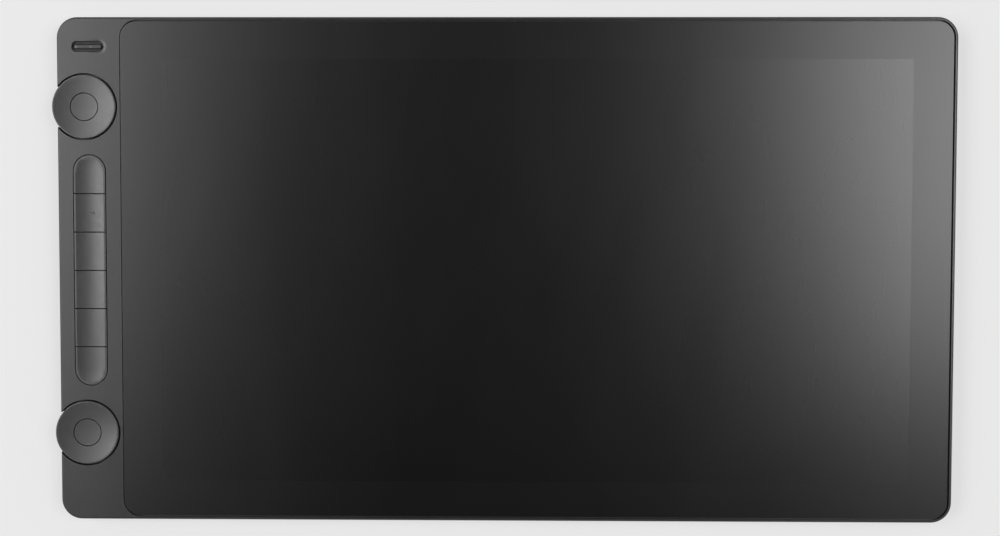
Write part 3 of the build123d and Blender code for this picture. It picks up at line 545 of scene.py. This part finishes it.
def select_parts(piece, kind, wanted):
    """Selects the edges or the faces of a piece that pass a test."""
    bpy.ops.mesh.select_mode(type=kind)
    bpy.ops.mesh.select_all(action="DESELECT")
    mesh = bmesh.from_edit_mesh(piece.data)
    for part in mesh.edges if kind == "EDGE" else mesh.faces:
        part.select_set(wanted(part))
    bmesh.update_edit_mesh(piece.data)


def select_edges(piece, wanted):
    """Selects the edges whose two ends pass a test."""
    select_parts(piece, "EDGE", lambda edge: wanted(edge.verts[0].co, edge.verts[1].co))


def select_faces(piece, wanted):
    """Selects the faces whose middle passes a test."""
    select_parts(piece, "FACE", lambda face: wanted(face.calc_center_median()))


def upright(start, end):
    """True for an edge that stands upright."""
    return abs(start.z - end.z) > abs(start.x - end.x) + abs(start.y - end.y)


def level_at(height):
    """A test for edges that lie at one height."""
    return lambda start, end: max(abs(start.z - height), abs(end.z - height)) < CLOSE


def bevel(piece, wanted, width, segments):
    """Rounds the edges that pass a test."""
    select_edges(piece, wanted)
    bpy.ops.mesh.bevel(offset=width, segments=segments, affect="EDGES", profile=0.5)


def smooth(piece):
    """Shades a piece smoothly over its rounds and keeps its large faces flat."""
    bpy.ops.object.shade_smooth_by_angle(angle=math.radians(35))
    flat = piece.modifiers.new("flat faces", "WEIGHTED_NORMAL")
    flat.weight = 100
    flat.keep_sharp = True
    bpy.ops.object.modifier_apply(modifier=flat.name)


def close_piece(piece):
    """Leaves edit mode with a clean, closed mesh whose faces point outwards."""
    bpy.ops.mesh.select_all(action="SELECT")
    bpy.ops.mesh.remove_doubles(threshold=CLOSE / 10)
    bpy.ops.mesh.normals_make_consistent(inside=False)
    bpy.ops.object.mode_set(mode="OBJECT")
    smooth(piece)
    return piece


def turn(name, centre, profile, segments):
    """Turns a closed profile of radii and heights round an upright axis, ring by ring."""
    deselect()
    radius, height = profile[0]
    bpy.ops.mesh.primitive_circle_add(
        vertices=segments, radius=radius, fill_type="NOTHING", location=(*centre, height)
    )
    piece = open_piece(name)
    bpy.ops.mesh.select_mode(type="EDGE")
    bpy.ops.mesh.select_all(action="SELECT")
    for next_radius, next_height in profile[1:]:
        rise = (0, 0, next_height - height)
        bpy.ops.mesh.extrude_edges_move(TRANSFORM_OT_translate={"value": rise})
        if next_radius == 0:
            bpy.ops.mesh.merge(type="CENTER")
        else:
            factor = next_radius / radius
            bpy.ops.transform.resize(
                value=(factor, factor, 1), center_override=(*centre, next_height)
            )
        radius, height = next_radius, next_height
    return close_piece(piece)


def arc(middle, radius, start, end, steps):
    """Points of an arc in a profile, from one angle to another in degrees."""
    turns = [math.radians(start + (end - start) * step / steps) for step in range(steps + 1)]
    return [(middle[0] + radius * math.cos(a), middle[1] + radius * math.sin(a)) for a in turns]


def dish(from_radius, to_radius, top, reach, depth, steps):
    """Points of a hollow that is this deep at its middle and ends at its reach."""
    ball = (reach**2 + depth**2) / (2 * depth)
    points = []
    for step in range(steps + 1):
        radius = from_radius + (to_radius - from_radius) * step / steps
        points.append((radius, top - depth + ball - math.sqrt(ball**2 - radius**2)))
    return points


def middle_of(node):
    """The middle of a CAD node in plan."""
    low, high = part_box(node)
    return ((low.x + high.x) / 2, (low.y + high.y) / 2)


def half_width(node):
    """Half the width of a CAD node."""
    low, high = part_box(node)
    return (high.x - low.x) / 2


def apply_cut(piece, cutter):
    """Cuts one piece out of another and smooths what the cut leaves."""
    pick(piece)
    cut = piece.modifiers.new("cut", "BOOLEAN")
    cut.operation = "DIFFERENCE"
    cut.solver = "EXACT"
    cut.object = cutter
    bpy.ops.object.modifier_apply(modifier=cut.name)
    smooth(piece)


def join(pieces, name):
    """Joins loose shells into one piece."""
    pick(*pieces)
    bpy.ops.object.join()
    pieces[0].name = name
    return pieces[0]


def copy_piece(piece, name, shift):
    """Copies a piece with a mesh of its own, moved by a vector."""
    pick(piece)
    bpy.ops.object.duplicate(linked=False)
    twin = bpy.context.object
    twin.name = name
    twin.location = shift
    settle()
    return twin


def mount(piece, body, node, material):
    """Puts a piece in a node's place, on its body and with its finish."""
    piece.data.materials.clear()
    piece.data.materials.append(material)
    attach(piece, body)
    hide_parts(node)


# Pieces


class DressShell(bpy.types.Operator):
    """Finishes the housing, the back cover and its screws"""

    bl_idname = "pen_display.shell"
    bl_label = "Finish Shell"

    def execute(self, context):
        finishes = context.scene.pen_display_finishes
        sizes = context.scene.pen_display_sizes
        middle = Vector((*middle_of("power_button"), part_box("front_housing")[1].z))
        reach = Vector((sizes.recess_width / 2, sizes.recess_depth / 2, 0))
        below, above = Vector((0, 0, 2 * MM)), Vector((0, 0, 0.3 * MM))
        # Box inside the recess round the power bar, where the housing is drawn darker as painted shade.
        corners = (middle - reach - below, middle + reach - above)
        housing = moulding(
            "housing_plastic", finishes.housing, finishes,
            roughness=0.31, grain=0.22 * MM, depth=0.0015 * MM, dust=0.15,
            recess=(*corners, sizes.recess_sink, sizes.recess_skirt),
        )
        cover = moulding(
            "cover_plastic", finishes.cover, finishes,
            roughness=0.58, grain=0.35 * MM, depth=0.012 * MM, dust=0.1,
        )
        dress(housing, "front_housing")
        dress(cover, "back_cover", "key_frame")
        dress(metal("blackened_steel", (0.07, 0.07, 0.075), roughness=0.42), "rear_screws")
        return {"FINISHED"}


class BuildGlass(bpy.types.Operator):
    """Models the cover glass with round corners and a ground edge"""

    bl_idname = "pen_display.glass"
    bl_label = "Build Glass"

    def execute(self, context):
        sizes = context.scene.pen_display_sizes
        low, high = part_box("cover_glass")
        low.x -= sizes.glass_reach
        piece = add_block("screen_glass", low, high)
        bevel(piece, upright, sizes.glass_corner, segments=24)
        bevel(piece, level_at(high.z), sizes.glass_edge, segments=4)
        bevel(piece, level_at(low.z), sizes.glass_edge / 2, segments=2)
        close_piece(piece)
        material = etched_glass(sizes, context.scene.pen_display_finishes)
        mount(piece, "chassis", "cover_glass", material)
        return {"FINISHED"}


class BuildKeys(bpy.types.Operator):
    """Models the dished keys: one of the row and one with a round end, then their copies"""

    bl_idname = "pen_display.keys"
    bl_label = "Build Keys"

    def heights(self, sizes):
        """Foot of the stem, foot and top of the flange, and top of the cap."""
        low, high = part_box(KEYS[1])
        flange = low.z + sizes.key_stem
        return low.z, flange, flange + sizes.key_flange, high.z

    def add_cutter(self, sizes, top):
        """A long capsule that dishes the whole row."""
        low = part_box(KEYS[-1])[0]
        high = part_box(KEYS[0])[1]
        half = (high.x - low.x) / 2 - sizes.key_reach
        reach = half - sizes.key_land
        ball = (reach**2 + sizes.key_dish**2) / (2 * sizes.key_dish)
        start = low.y + sizes.key_reach + half
        run = high.y - low.y - 2 * sizes.key_reach - 2 * half
        deselect()
        bpy.ops.mesh.primitive_uv_sphere_add(
            segments=256,
            ring_count=128,
            radius=ball,
            location=((low.x + high.x) / 2, start, top - sizes.key_dish + ball),
            rotation=(math.radians(90), 0, 0),
        )
        cutter = open_piece("cutter")
        select_faces(cutter, lambda middle: middle.y > start)
        bpy.ops.mesh.extrude_region_move(TRANSFORM_OT_translate={"value": (0, run, 0)})
        return close_piece(cutter)

    def add_under(self, sizes, node, centre_y):
        """The flange and the stem under a cap."""
        foot, flange_foot, flange_top = self.heights(sizes)[:3]
        low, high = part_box(node)
        flange = self.add_plate(node, low.x, high.x, low.y, high.y, flange_foot, flange_top)
        bpy.ops.object.mode_set(mode="OBJECT")
        middle = (low.x + high.x) / 2
        half = sizes.key_stem_side / 2
        stem = add_block(
            "stem",
            (middle - half, centre_y - half, foot),
            (middle + half, centre_y + half, flange_foot),
        )
        bevel(stem, upright, sizes.key_edge, segments=3)
        return [flange, close_piece(stem)]

    def add_plate(self, node, left, right, near, far, bottom, top):
        """A plate with straight ends, or with a round far end on the first key."""
        if node != KEYS[0]:
            return add_block("plate", (left, near, bottom), (right, far, top))
        half = (right - left) / 2
        straight_end = far - half
        centre = (left + half, straight_end, (top + bottom) / 2)
        deselect()
        bpy.ops.mesh.primitive_cylinder_add(
            vertices=160, radius=half, depth=top - bottom, location=centre
        )
        plate = open_piece("plate")
        bpy.ops.mesh.select_all(action="SELECT")
        bpy.ops.mesh.bisect(plane_co=centre, plane_no=(0, 1, 0), use_fill=True, clear_inner=True)
        select_faces(plate, lambda middle: abs(middle.y - straight_end) < CLOSE)
        run = (0, near - straight_end, 0)
        bpy.ops.mesh.extrude_region_move(TRANSFORM_OT_translate={"value": run})
        bpy.ops.mesh.select_all(action="SELECT")
        bpy.ops.mesh.remove_doubles(threshold=CLOSE / 10)
        bpy.ops.mesh.dissolve_limited(angle_limit=math.radians(0.5))
        bpy.ops.mesh.normals_make_consistent(inside=False)
        return plate

    def add_cap(self, sizes, node, cutter):
        """A cap with rounded upper edges, dished by the cutter."""
        bottom, top = self.heights(sizes)[2:]
        low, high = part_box(node)
        far = high.y - (sizes.key_reach if node == KEYS[0] else 0)
        cap = self.add_plate(
            node, low.x + sizes.key_reach, high.x - sizes.key_reach, low.y, far, bottom, top
        )
        ends = [low.y] if node == KEYS[0] else [low.y, far]
        at_top = level_at(top)

        def at_end(start, end):
            return any(max(abs(start.y - y), abs(end.y - y)) < CLOSE for y in ends)

        def at_side(start, end):
            return at_top(start, end) and not at_end(start, end)

        def at_upper_end(start, end):
            return at_end(start, end) and min(start.z, end.z) > (bottom + top) / 2

        bevel(cap, at_side, sizes.key_edge, segments=4)
        close_piece(cap)
        apply_cut(cap, cutter)
        bpy.ops.object.mode_set(mode="EDIT")
        bevel(cap, at_upper_end, sizes.key_edge / 2, segments=3)
        return close_piece(cap)

    def add_key(self, sizes, node, cutter, centre_y, name):
        """A cap with its flange and its stem."""
        cap = self.add_cap(sizes, node, cutter)
        return join([cap, *self.add_under(sizes, node, centre_y)], name)

    def add_finding_bar(self, sizes, node, top):
        """A small raised bar near the middle of one key."""
        x, y = middle_of(node)
        centre = Vector((x + sizes.bar_shift, y, top - sizes.key_dish))
        half = Vector((sizes.bar_width / 2, sizes.bar_depth / 2, sizes.bar_height))
        bar = add_block("bar", centre - half, centre + half)
        bevel(bar, upright, sizes.bar_end, segments=8)
        bevel(bar, level_at(centre.z + sizes.bar_height), sizes.bar_edge, segments=4)
        return close_piece(bar)

    def execute(self, context):
        sizes = context.scene.pen_display_sizes
        finishes = context.scene.pen_display_finishes
        material = control_plastic("key_plastic", finishes.key, finishes)
        top = self.heights(sizes)[3]
        cutter = self.add_cutter(sizes, top)
        end_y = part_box(KEYS[0])[0].y + sizes.key_stretch / 2
        row_y = middle_of(KEYS[1])[1]
        end_key = self.add_key(sizes, KEYS[0], cutter, end_y, "cap_1")
        row_key = self.add_key(sizes, KEYS[1], cutter, row_y, "cap_2")
        caps = [end_key, row_key]
        for node in KEYS[2:-1]:
            shift = (0, middle_of(node)[1] - row_y, 0)
            caps.append(copy_piece(row_key, node.replace("key", "cap"), shift))
        last = copy_piece(end_key, "cap_6", (0, 0, 0))
        last.scale = (1, -1, 1)
        last.location = (0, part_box(KEYS[0])[1].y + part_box(KEYS[-1])[0].y, 0)
        settle()
        bpy.ops.object.mode_set(mode="EDIT")
        close_piece(last)
        caps.append(last)
        join([row_key, self.add_finding_bar(sizes, KEYS[1], top)], "cap_2")
        bpy.data.objects.remove(cutter)
        for cap, node in zip(caps, KEYS):
            mount(cap, node, node, material)
        return {"FINISHED"}


class BuildDials(bpy.types.Operator):
    """Turns the dials with their sleeves, and the buttons inside them"""

    bl_idname = "pen_display.dials"
    bl_label = "Build Dials"

    def dial_profile(self, sizes, node):
        """From the bore of the sleeve round the outside and back down the well."""
        low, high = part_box(node)
        top, foot = high.z, high.z - sizes.dial_height
        outer, edge, base = half_width(node), sizes.dial_edge, sizes.dial_foot
        reach = outer - edge - sizes.dial_land
        well = half_width(node + "_button") + sizes.hub_gap
        bore = sizes.sleeve_bore / 2
        hollow = dish(reach, well, top, reach, sizes.dial_dish, steps=14)
        return [
            (bore, low.z),
            (sizes.sleeve / 2, low.z),
            (sizes.sleeve / 2, foot),
            *arc((outer - base, foot + base), base, -90, 0, steps=5),
            *arc((outer - edge, top - edge), edge, 0, 90, steps=8),
            *hollow,
            (well, foot + sizes.dial_web),
            (bore, foot + sizes.dial_web),
            (bore, low.z),
        ]

    def button_profile(self, sizes, node):
        """From the foot of the stem up to the dished top."""
        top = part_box(node)[1].z
        radius = half_width(node + "_button")
        reach = half_width(node) - sizes.dial_edge - sizes.dial_land
        foot = top - sizes.dial_height + sizes.hub_lift
        stem = sizes.hub_stem / 2
        rim = radius - sizes.hub_edge
        hollow = dish(rim, 0, top, reach, sizes.dial_dish, steps=10)
        return [
            (stem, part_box(node + "_button")[0].z),
            (stem, foot),
            (radius, foot),
            (radius, hollow[0][1] - sizes.hub_edge),
            *hollow,
        ]

    def execute(self, context):
        sizes = context.scene.pen_display_sizes
        finishes = context.scene.pen_display_finishes
        material = control_plastic("dial_plastic", finishes.dial, finishes)
        for side in SIDES:
            node = side + "_dial"
            centre = middle_of(node)
            profile = self.dial_profile(sizes, node)
            ring = turn(side + "_ring", centre, profile, segments=192)
            mount(ring, node, node, material)
            profile = self.button_profile(sizes, node)
            cap = turn(side + "_cap", centre, profile, segments=128)
            bpy.ops.object.mode_set(mode="EDIT")
            select_edges(cap, level_at(profile[0][1]))
            bpy.ops.mesh.edge_face_add()
            close_piece(cap)
            mount(cap, node + "_button", node + "_button", material)
        return {"FINISHED"}


class DressPower(bpy.types.Operator):
    """Finishes the power bar and its light pipes"""

    bl_idname = "pen_display.power"
    bl_label = "Finish Power Bar"

    def execute(self, context):
        finishes = context.scene.pen_display_finishes
        dress(control_plastic("bar_plastic", finishes.bar, finishes, 0.42), "power_button")
        dress(lamp_lens("lens"), "indicator_lenses")
        return {"FINISHED"}


class BuildFeet(bpy.types.Operator):
    """Models one rubber foot and copies it under the four corners"""

    bl_idname = "pen_display.feet"
    bl_label = "Build Feet"

    def execute(self, context):
        sizes = context.scene.pen_display_sizes
        finishes = context.scene.pen_display_finishes
        low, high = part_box("rubber_feet")
        width, depth = sizes.foot_width, sizes.foot_depth
        foot = add_block("pads", low, (low.x + width, low.y + depth, high.z))
        bevel(foot, upright, sizes.foot_end, segments=16)
        bevel(foot, level_at(low.z), sizes.foot_edge, segments=4)
        bevel(foot, level_at(high.z), sizes.foot_edge / 3, segments=2)
        close_piece(foot)
        across, along = high.x - low.x - width, high.y - low.y - depth
        shifts = ((across, 0, 0), (0, along, 0), (across, along, 0))
        pads = join([foot, *(copy_piece(foot, "pad", shift) for shift in shifts)], "grip_pads")
        material = soft(
            "rubber", finishes.rubber, roughness=0.78,
            pore=0.35 * MM, depth=0.06 * MM, ribs=1.6 * MM,
        )
        mount(pads, "chassis", "rubber_feet", material)
        return {"FINISHED"}


class BuildSockets(bpy.types.Operator):
    """Finishes the cable sockets and lays gilt contacts on both faces of their tongues"""

    bl_idname = "pen_display.sockets"
    bl_label = "Build Sockets"

    def execute(self, context):
        sizes = context.scene.pen_display_sizes
        width, height = sizes.contact_width / 2, sizes.contact_height / 2
        pads = []
        for node in ("usb_tongue_1", "usb_tongue_2"):
            low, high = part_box(node)
            middle = (low + high) / 2
            front = high.y - sizes.contact_width
            for face in (-1, 1):
                level = middle.z + face * (sizes.tongue / 2 + height)
                for index in range(CONTACTS):
                    x = middle.x + (index - (CONTACTS - 1) / 2) * sizes.contact_pitch
                    pad = add_block(
                        "contact",
                        (x - width, front - sizes.contact_length, level - height),
                        (x + width, front, level + height),
                    )
                    bevel(pad, upright, sizes.contact_width / 5, segments=3)
                    pads.append(close_piece(pad))
        contacts = join(pads, "socket_contacts")
        gilt = metal("gilt", (0.80, 0.58, 0.24), roughness=0.25, lines=(1.0, 0.1, 1.0))
        contacts.data.materials.append(gilt)
        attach(contacts, "chassis")
        return {"FINISHED"}


class DressInside(bpy.types.Operator):
    """Finishes the display stack, the boards, the cables and the switches inside"""

    bl_idname = "pen_display.inside"
    bl_label = "Finish Inside"

    def execute(self, context):
        finishes = context.scene.pen_display_finishes
        steel = metal("steel", finishes.steel, roughness=0.32, lines=(1.0, 0.06, 1.0))
        dress(steel, "usb_shell_1", "usb_shell_2", "backlight_tray", "shield_plate")
        dress(steel, "control_board_screws", "main_board_screws")
        # The frame is drawn dark so that the gap round the glass reads dark: a painted shade.
        cast = metal("frame_metal", finishes.metal, 0.48, grain=0.7 * MM, depth=0.02 * MM)
        dress(cast, "mid_frame")

        chip = moulding(
            "chip", (0.022, 0.022, 0.023), finishes,
            roughness=0.55, grain=0.12 * MM, depth=0.006 * MM, wear=0.3,
        )
        dress(chip, "main_board_chips", "usb_tongue_1", "usb_tongue_2", "key_switches")
        dress(chip, "power_switch", "dial_switches", "upper_dial_encoder", "lower_dial_encoder")
        nylon = moulding(
            "nylon", (0.55, 0.54, 0.50), finishes,
            roughness=0.42, grain=0.2 * MM, depth=0.003 * MM, wear=0.2,
        )
        dress(nylon, "power_plunger", *(key.replace("key", "key_plunger") for key in KEYS))
        dress(nylon, *(side + "_dial_" + part for side in SIDES for part in ("rotor", "plunger")))

        board = circuit(finishes)
        dress(board, "control_board", "main_board", "panel_driver_board", "digitizer_board")
        dress(board, "light_strip")
        dress(ribbon("ribbon_near", finishes, 0.0), "panel_cable", "panel_flexes")
        dress(ribbon("ribbon_across", finishes, math.radians(90)), "control_cable")

        for name, tint, roughness, dots, depth, pearl, *covered in (
            ("white_film", (0.82, 0.83, 0.84), 0.34, 0.5, 0.004, 0.15, "diffuser_films", "reflector_film"),
            ("lamp_resin", (0.86, 0.78, 0.38), 0.30, 0.3, 0.004, 0.0, "backlight_leds"),
            ("light_guide", (0.78, 0.82, 0.84), 0.12, 1.2, 0.003, 0.0, "light_guide"),
            ("clear_bond", (0.70, 0.72, 0.73), 0.20, 2.0, 0.001, 0.0, "optical_bond"),
            ("panel_glass", (0.02, 0.021, 0.024), 0.14, 0.3, 0.0005, 0.0, "display_panel"),
        ):
            film = sheet_film(name, tint, roughness, dots * MM, depth * MM, pearl)
            dress(film, *covered)
        tape = soft("tape", (0.02, 0.02, 0.02), roughness=0.8, pore=0.25 * MM, depth=0.02 * MM)
        dress(tape, "glass_tape")
        foam = soft("foam", (0.06, 0.06, 0.06), roughness=0.9, pore=0.6 * MM, depth=0.15 * MM)
        dress(foam, "foam_blocks")
        return {"FINISHED"}


class BuildStudio(bpy.types.Operator):
    """Lays the floor, hangs two softboxes and the camera, and paints the walls"""

    bl_idname = "pen_display.studio"
    bl_label = "Build Studio"

    def add_floor(self, studio):
        """A pale floor with a faint tooth."""
        deselect()
        bpy.ops.mesh.primitive_plane_add(size=studio.floor_side)
        floor = bpy.context.object
        floor.name = "floor"
        material, tree, shader, place = begin("floor")
        tooth = noise(tree, place, 1.5 * MM, 3.0)
        shade = blend(tree, tooth, dimmer(studio.floor, 0.985), dimmer(studio.floor, 1.015))
        feed(tree, shader, {"Base Color": shade, "Roughness": 0.9, "Specular IOR Level": 0.2})
        rays = add_node(tree, "LightPath").outputs
        seen = maths(tree, "MAXIMUM", rays["Is Camera Ray"], rays["Is Glossy Ray"])
        seen = maths(tree, "MAXIMUM", seen, rays["Is Transmission Ray"])
        plain = add_node(tree, "Emission", {0: (*studio.floor, 1.0)})
        glow = times(tree, seen, studio.floor_glow)
        mix = add_node(tree, "MixShader", {0: glow, 1: shader.outputs[0], 2: plain.outputs[0]})
        feed(tree, tree.get_output_node("ALL"), {"Surface": mix.outputs[0]})
        floor.data.materials.append(material)

    def add_lamp(self, name, place, size, power):
        """A softbox that faces the object."""
        aim = (-Vector(place)).to_track_quat("-Z", "Y").to_euler()
        bpy.ops.object.light_add(type="AREA", location=place, rotation=aim)
        lamp = bpy.context.object
        lamp.name = name
        lamp.data.shape = "RECTANGLE"
        lamp.data.size, lamp.data.size_y = size
        lamp.data.energy = power

    def paint_world(self, studio):
        """Pale walls that give way to a dark ceiling."""
        world = bpy.data.worlds.new("studio")
        bpy.context.scene.world = world
        world.use_nodes = True
        tree = world.node_tree
        tree.nodes.clear()
        way = add_node(tree, "TexCoord").outputs["Generated"]
        rise = fit(tree, axes_of(tree, way)["Z"], studio.wall_top, studio.ceiling_start)
        shade = blend(tree, rise, (studio.walls,) * 3, (studio.ceiling,) * 3)
        glow = add_node(tree, "Background", {"Color": shade})
        add_node(tree, "OutputWorld", {"Surface": glow.outputs[0]})

    def execute(self, context):
        studio = context.scene.pen_display_studio
        self.add_floor(studio)
        self.add_lamp("right_softbox", studio.right_lamp, studio.right_size, studio.right_power)
        self.add_lamp("left_softbox", studio.left_lamp, studio.left_size, studio.left_power)
        self.paint_world(studio)
        bpy.ops.object.camera_add(location=studio.camera_place, rotation=studio.camera_turn)
        camera = bpy.context.object
        camera.data.lens = studio.lens
        camera.data.sensor_width = studio.sensor
        camera.data.clip_start = studio.nearest
        camera.data.dof.use_dof = False
        context.scene.camera = camera
        context.scene.view_settings.view_transform = "Standard"
        return {"FINISHED"}


BUILDERS = (
    DressShell, BuildGlass, BuildKeys, BuildDials, DressPower,
    BuildFeet, BuildSockets, DressInside, BuildStudio,
)
SETTINGS = {
    "pen_display_sizes": PenDisplaySizes,
    "pen_display_finishes": PenDisplayFinishes,
    "pen_display_studio": PenDisplayStudio,
}


class PenDisplayPanel(bpy.types.Panel):
    """Lists the steps and the settings of the pen display"""

    bl_idname = "VIEW3D_PT_pen_display"
    bl_label = "Pen Display"
    bl_space_type = "VIEW_3D"
    bl_region_type = "UI"
    bl_category = "Pen Display"

    def draw(self, context):
        layout = self.layout
        for builder in BUILDERS:
            layout.operator(builder.bl_idname)
        for attribute, group in SETTINGS.items():
            box = layout.box()
            for name in group.__annotations__:
                box.prop(getattr(context.scene, attribute), name)


def register():
    """Registers the settings, the steps and the panel."""
    for group in (*SETTINGS.values(), *BUILDERS, PenDisplayPanel):
        bpy.utils.register_class(group)
    for attribute, group in SETTINGS.items():
        setattr(bpy.types.Scene, attribute, bpy.props.PointerProperty(type=group))


def unregister():
    """Takes back what register did."""
    for attribute in SETTINGS:
        delattr(bpy.types.Scene, attribute)
    for group in (PenDisplayPanel, *reversed(BUILDERS), *reversed(SETTINGS.values())):
        bpy.utils.unregister_class(group)


def main():
    """Runs every step."""
    register()
    for builder in BUILDERS:
        group, step = builder.bl_idname.split(".")
        getattr(getattr(bpy.ops, group), step)()


if __name__ == "__main__":
    main()
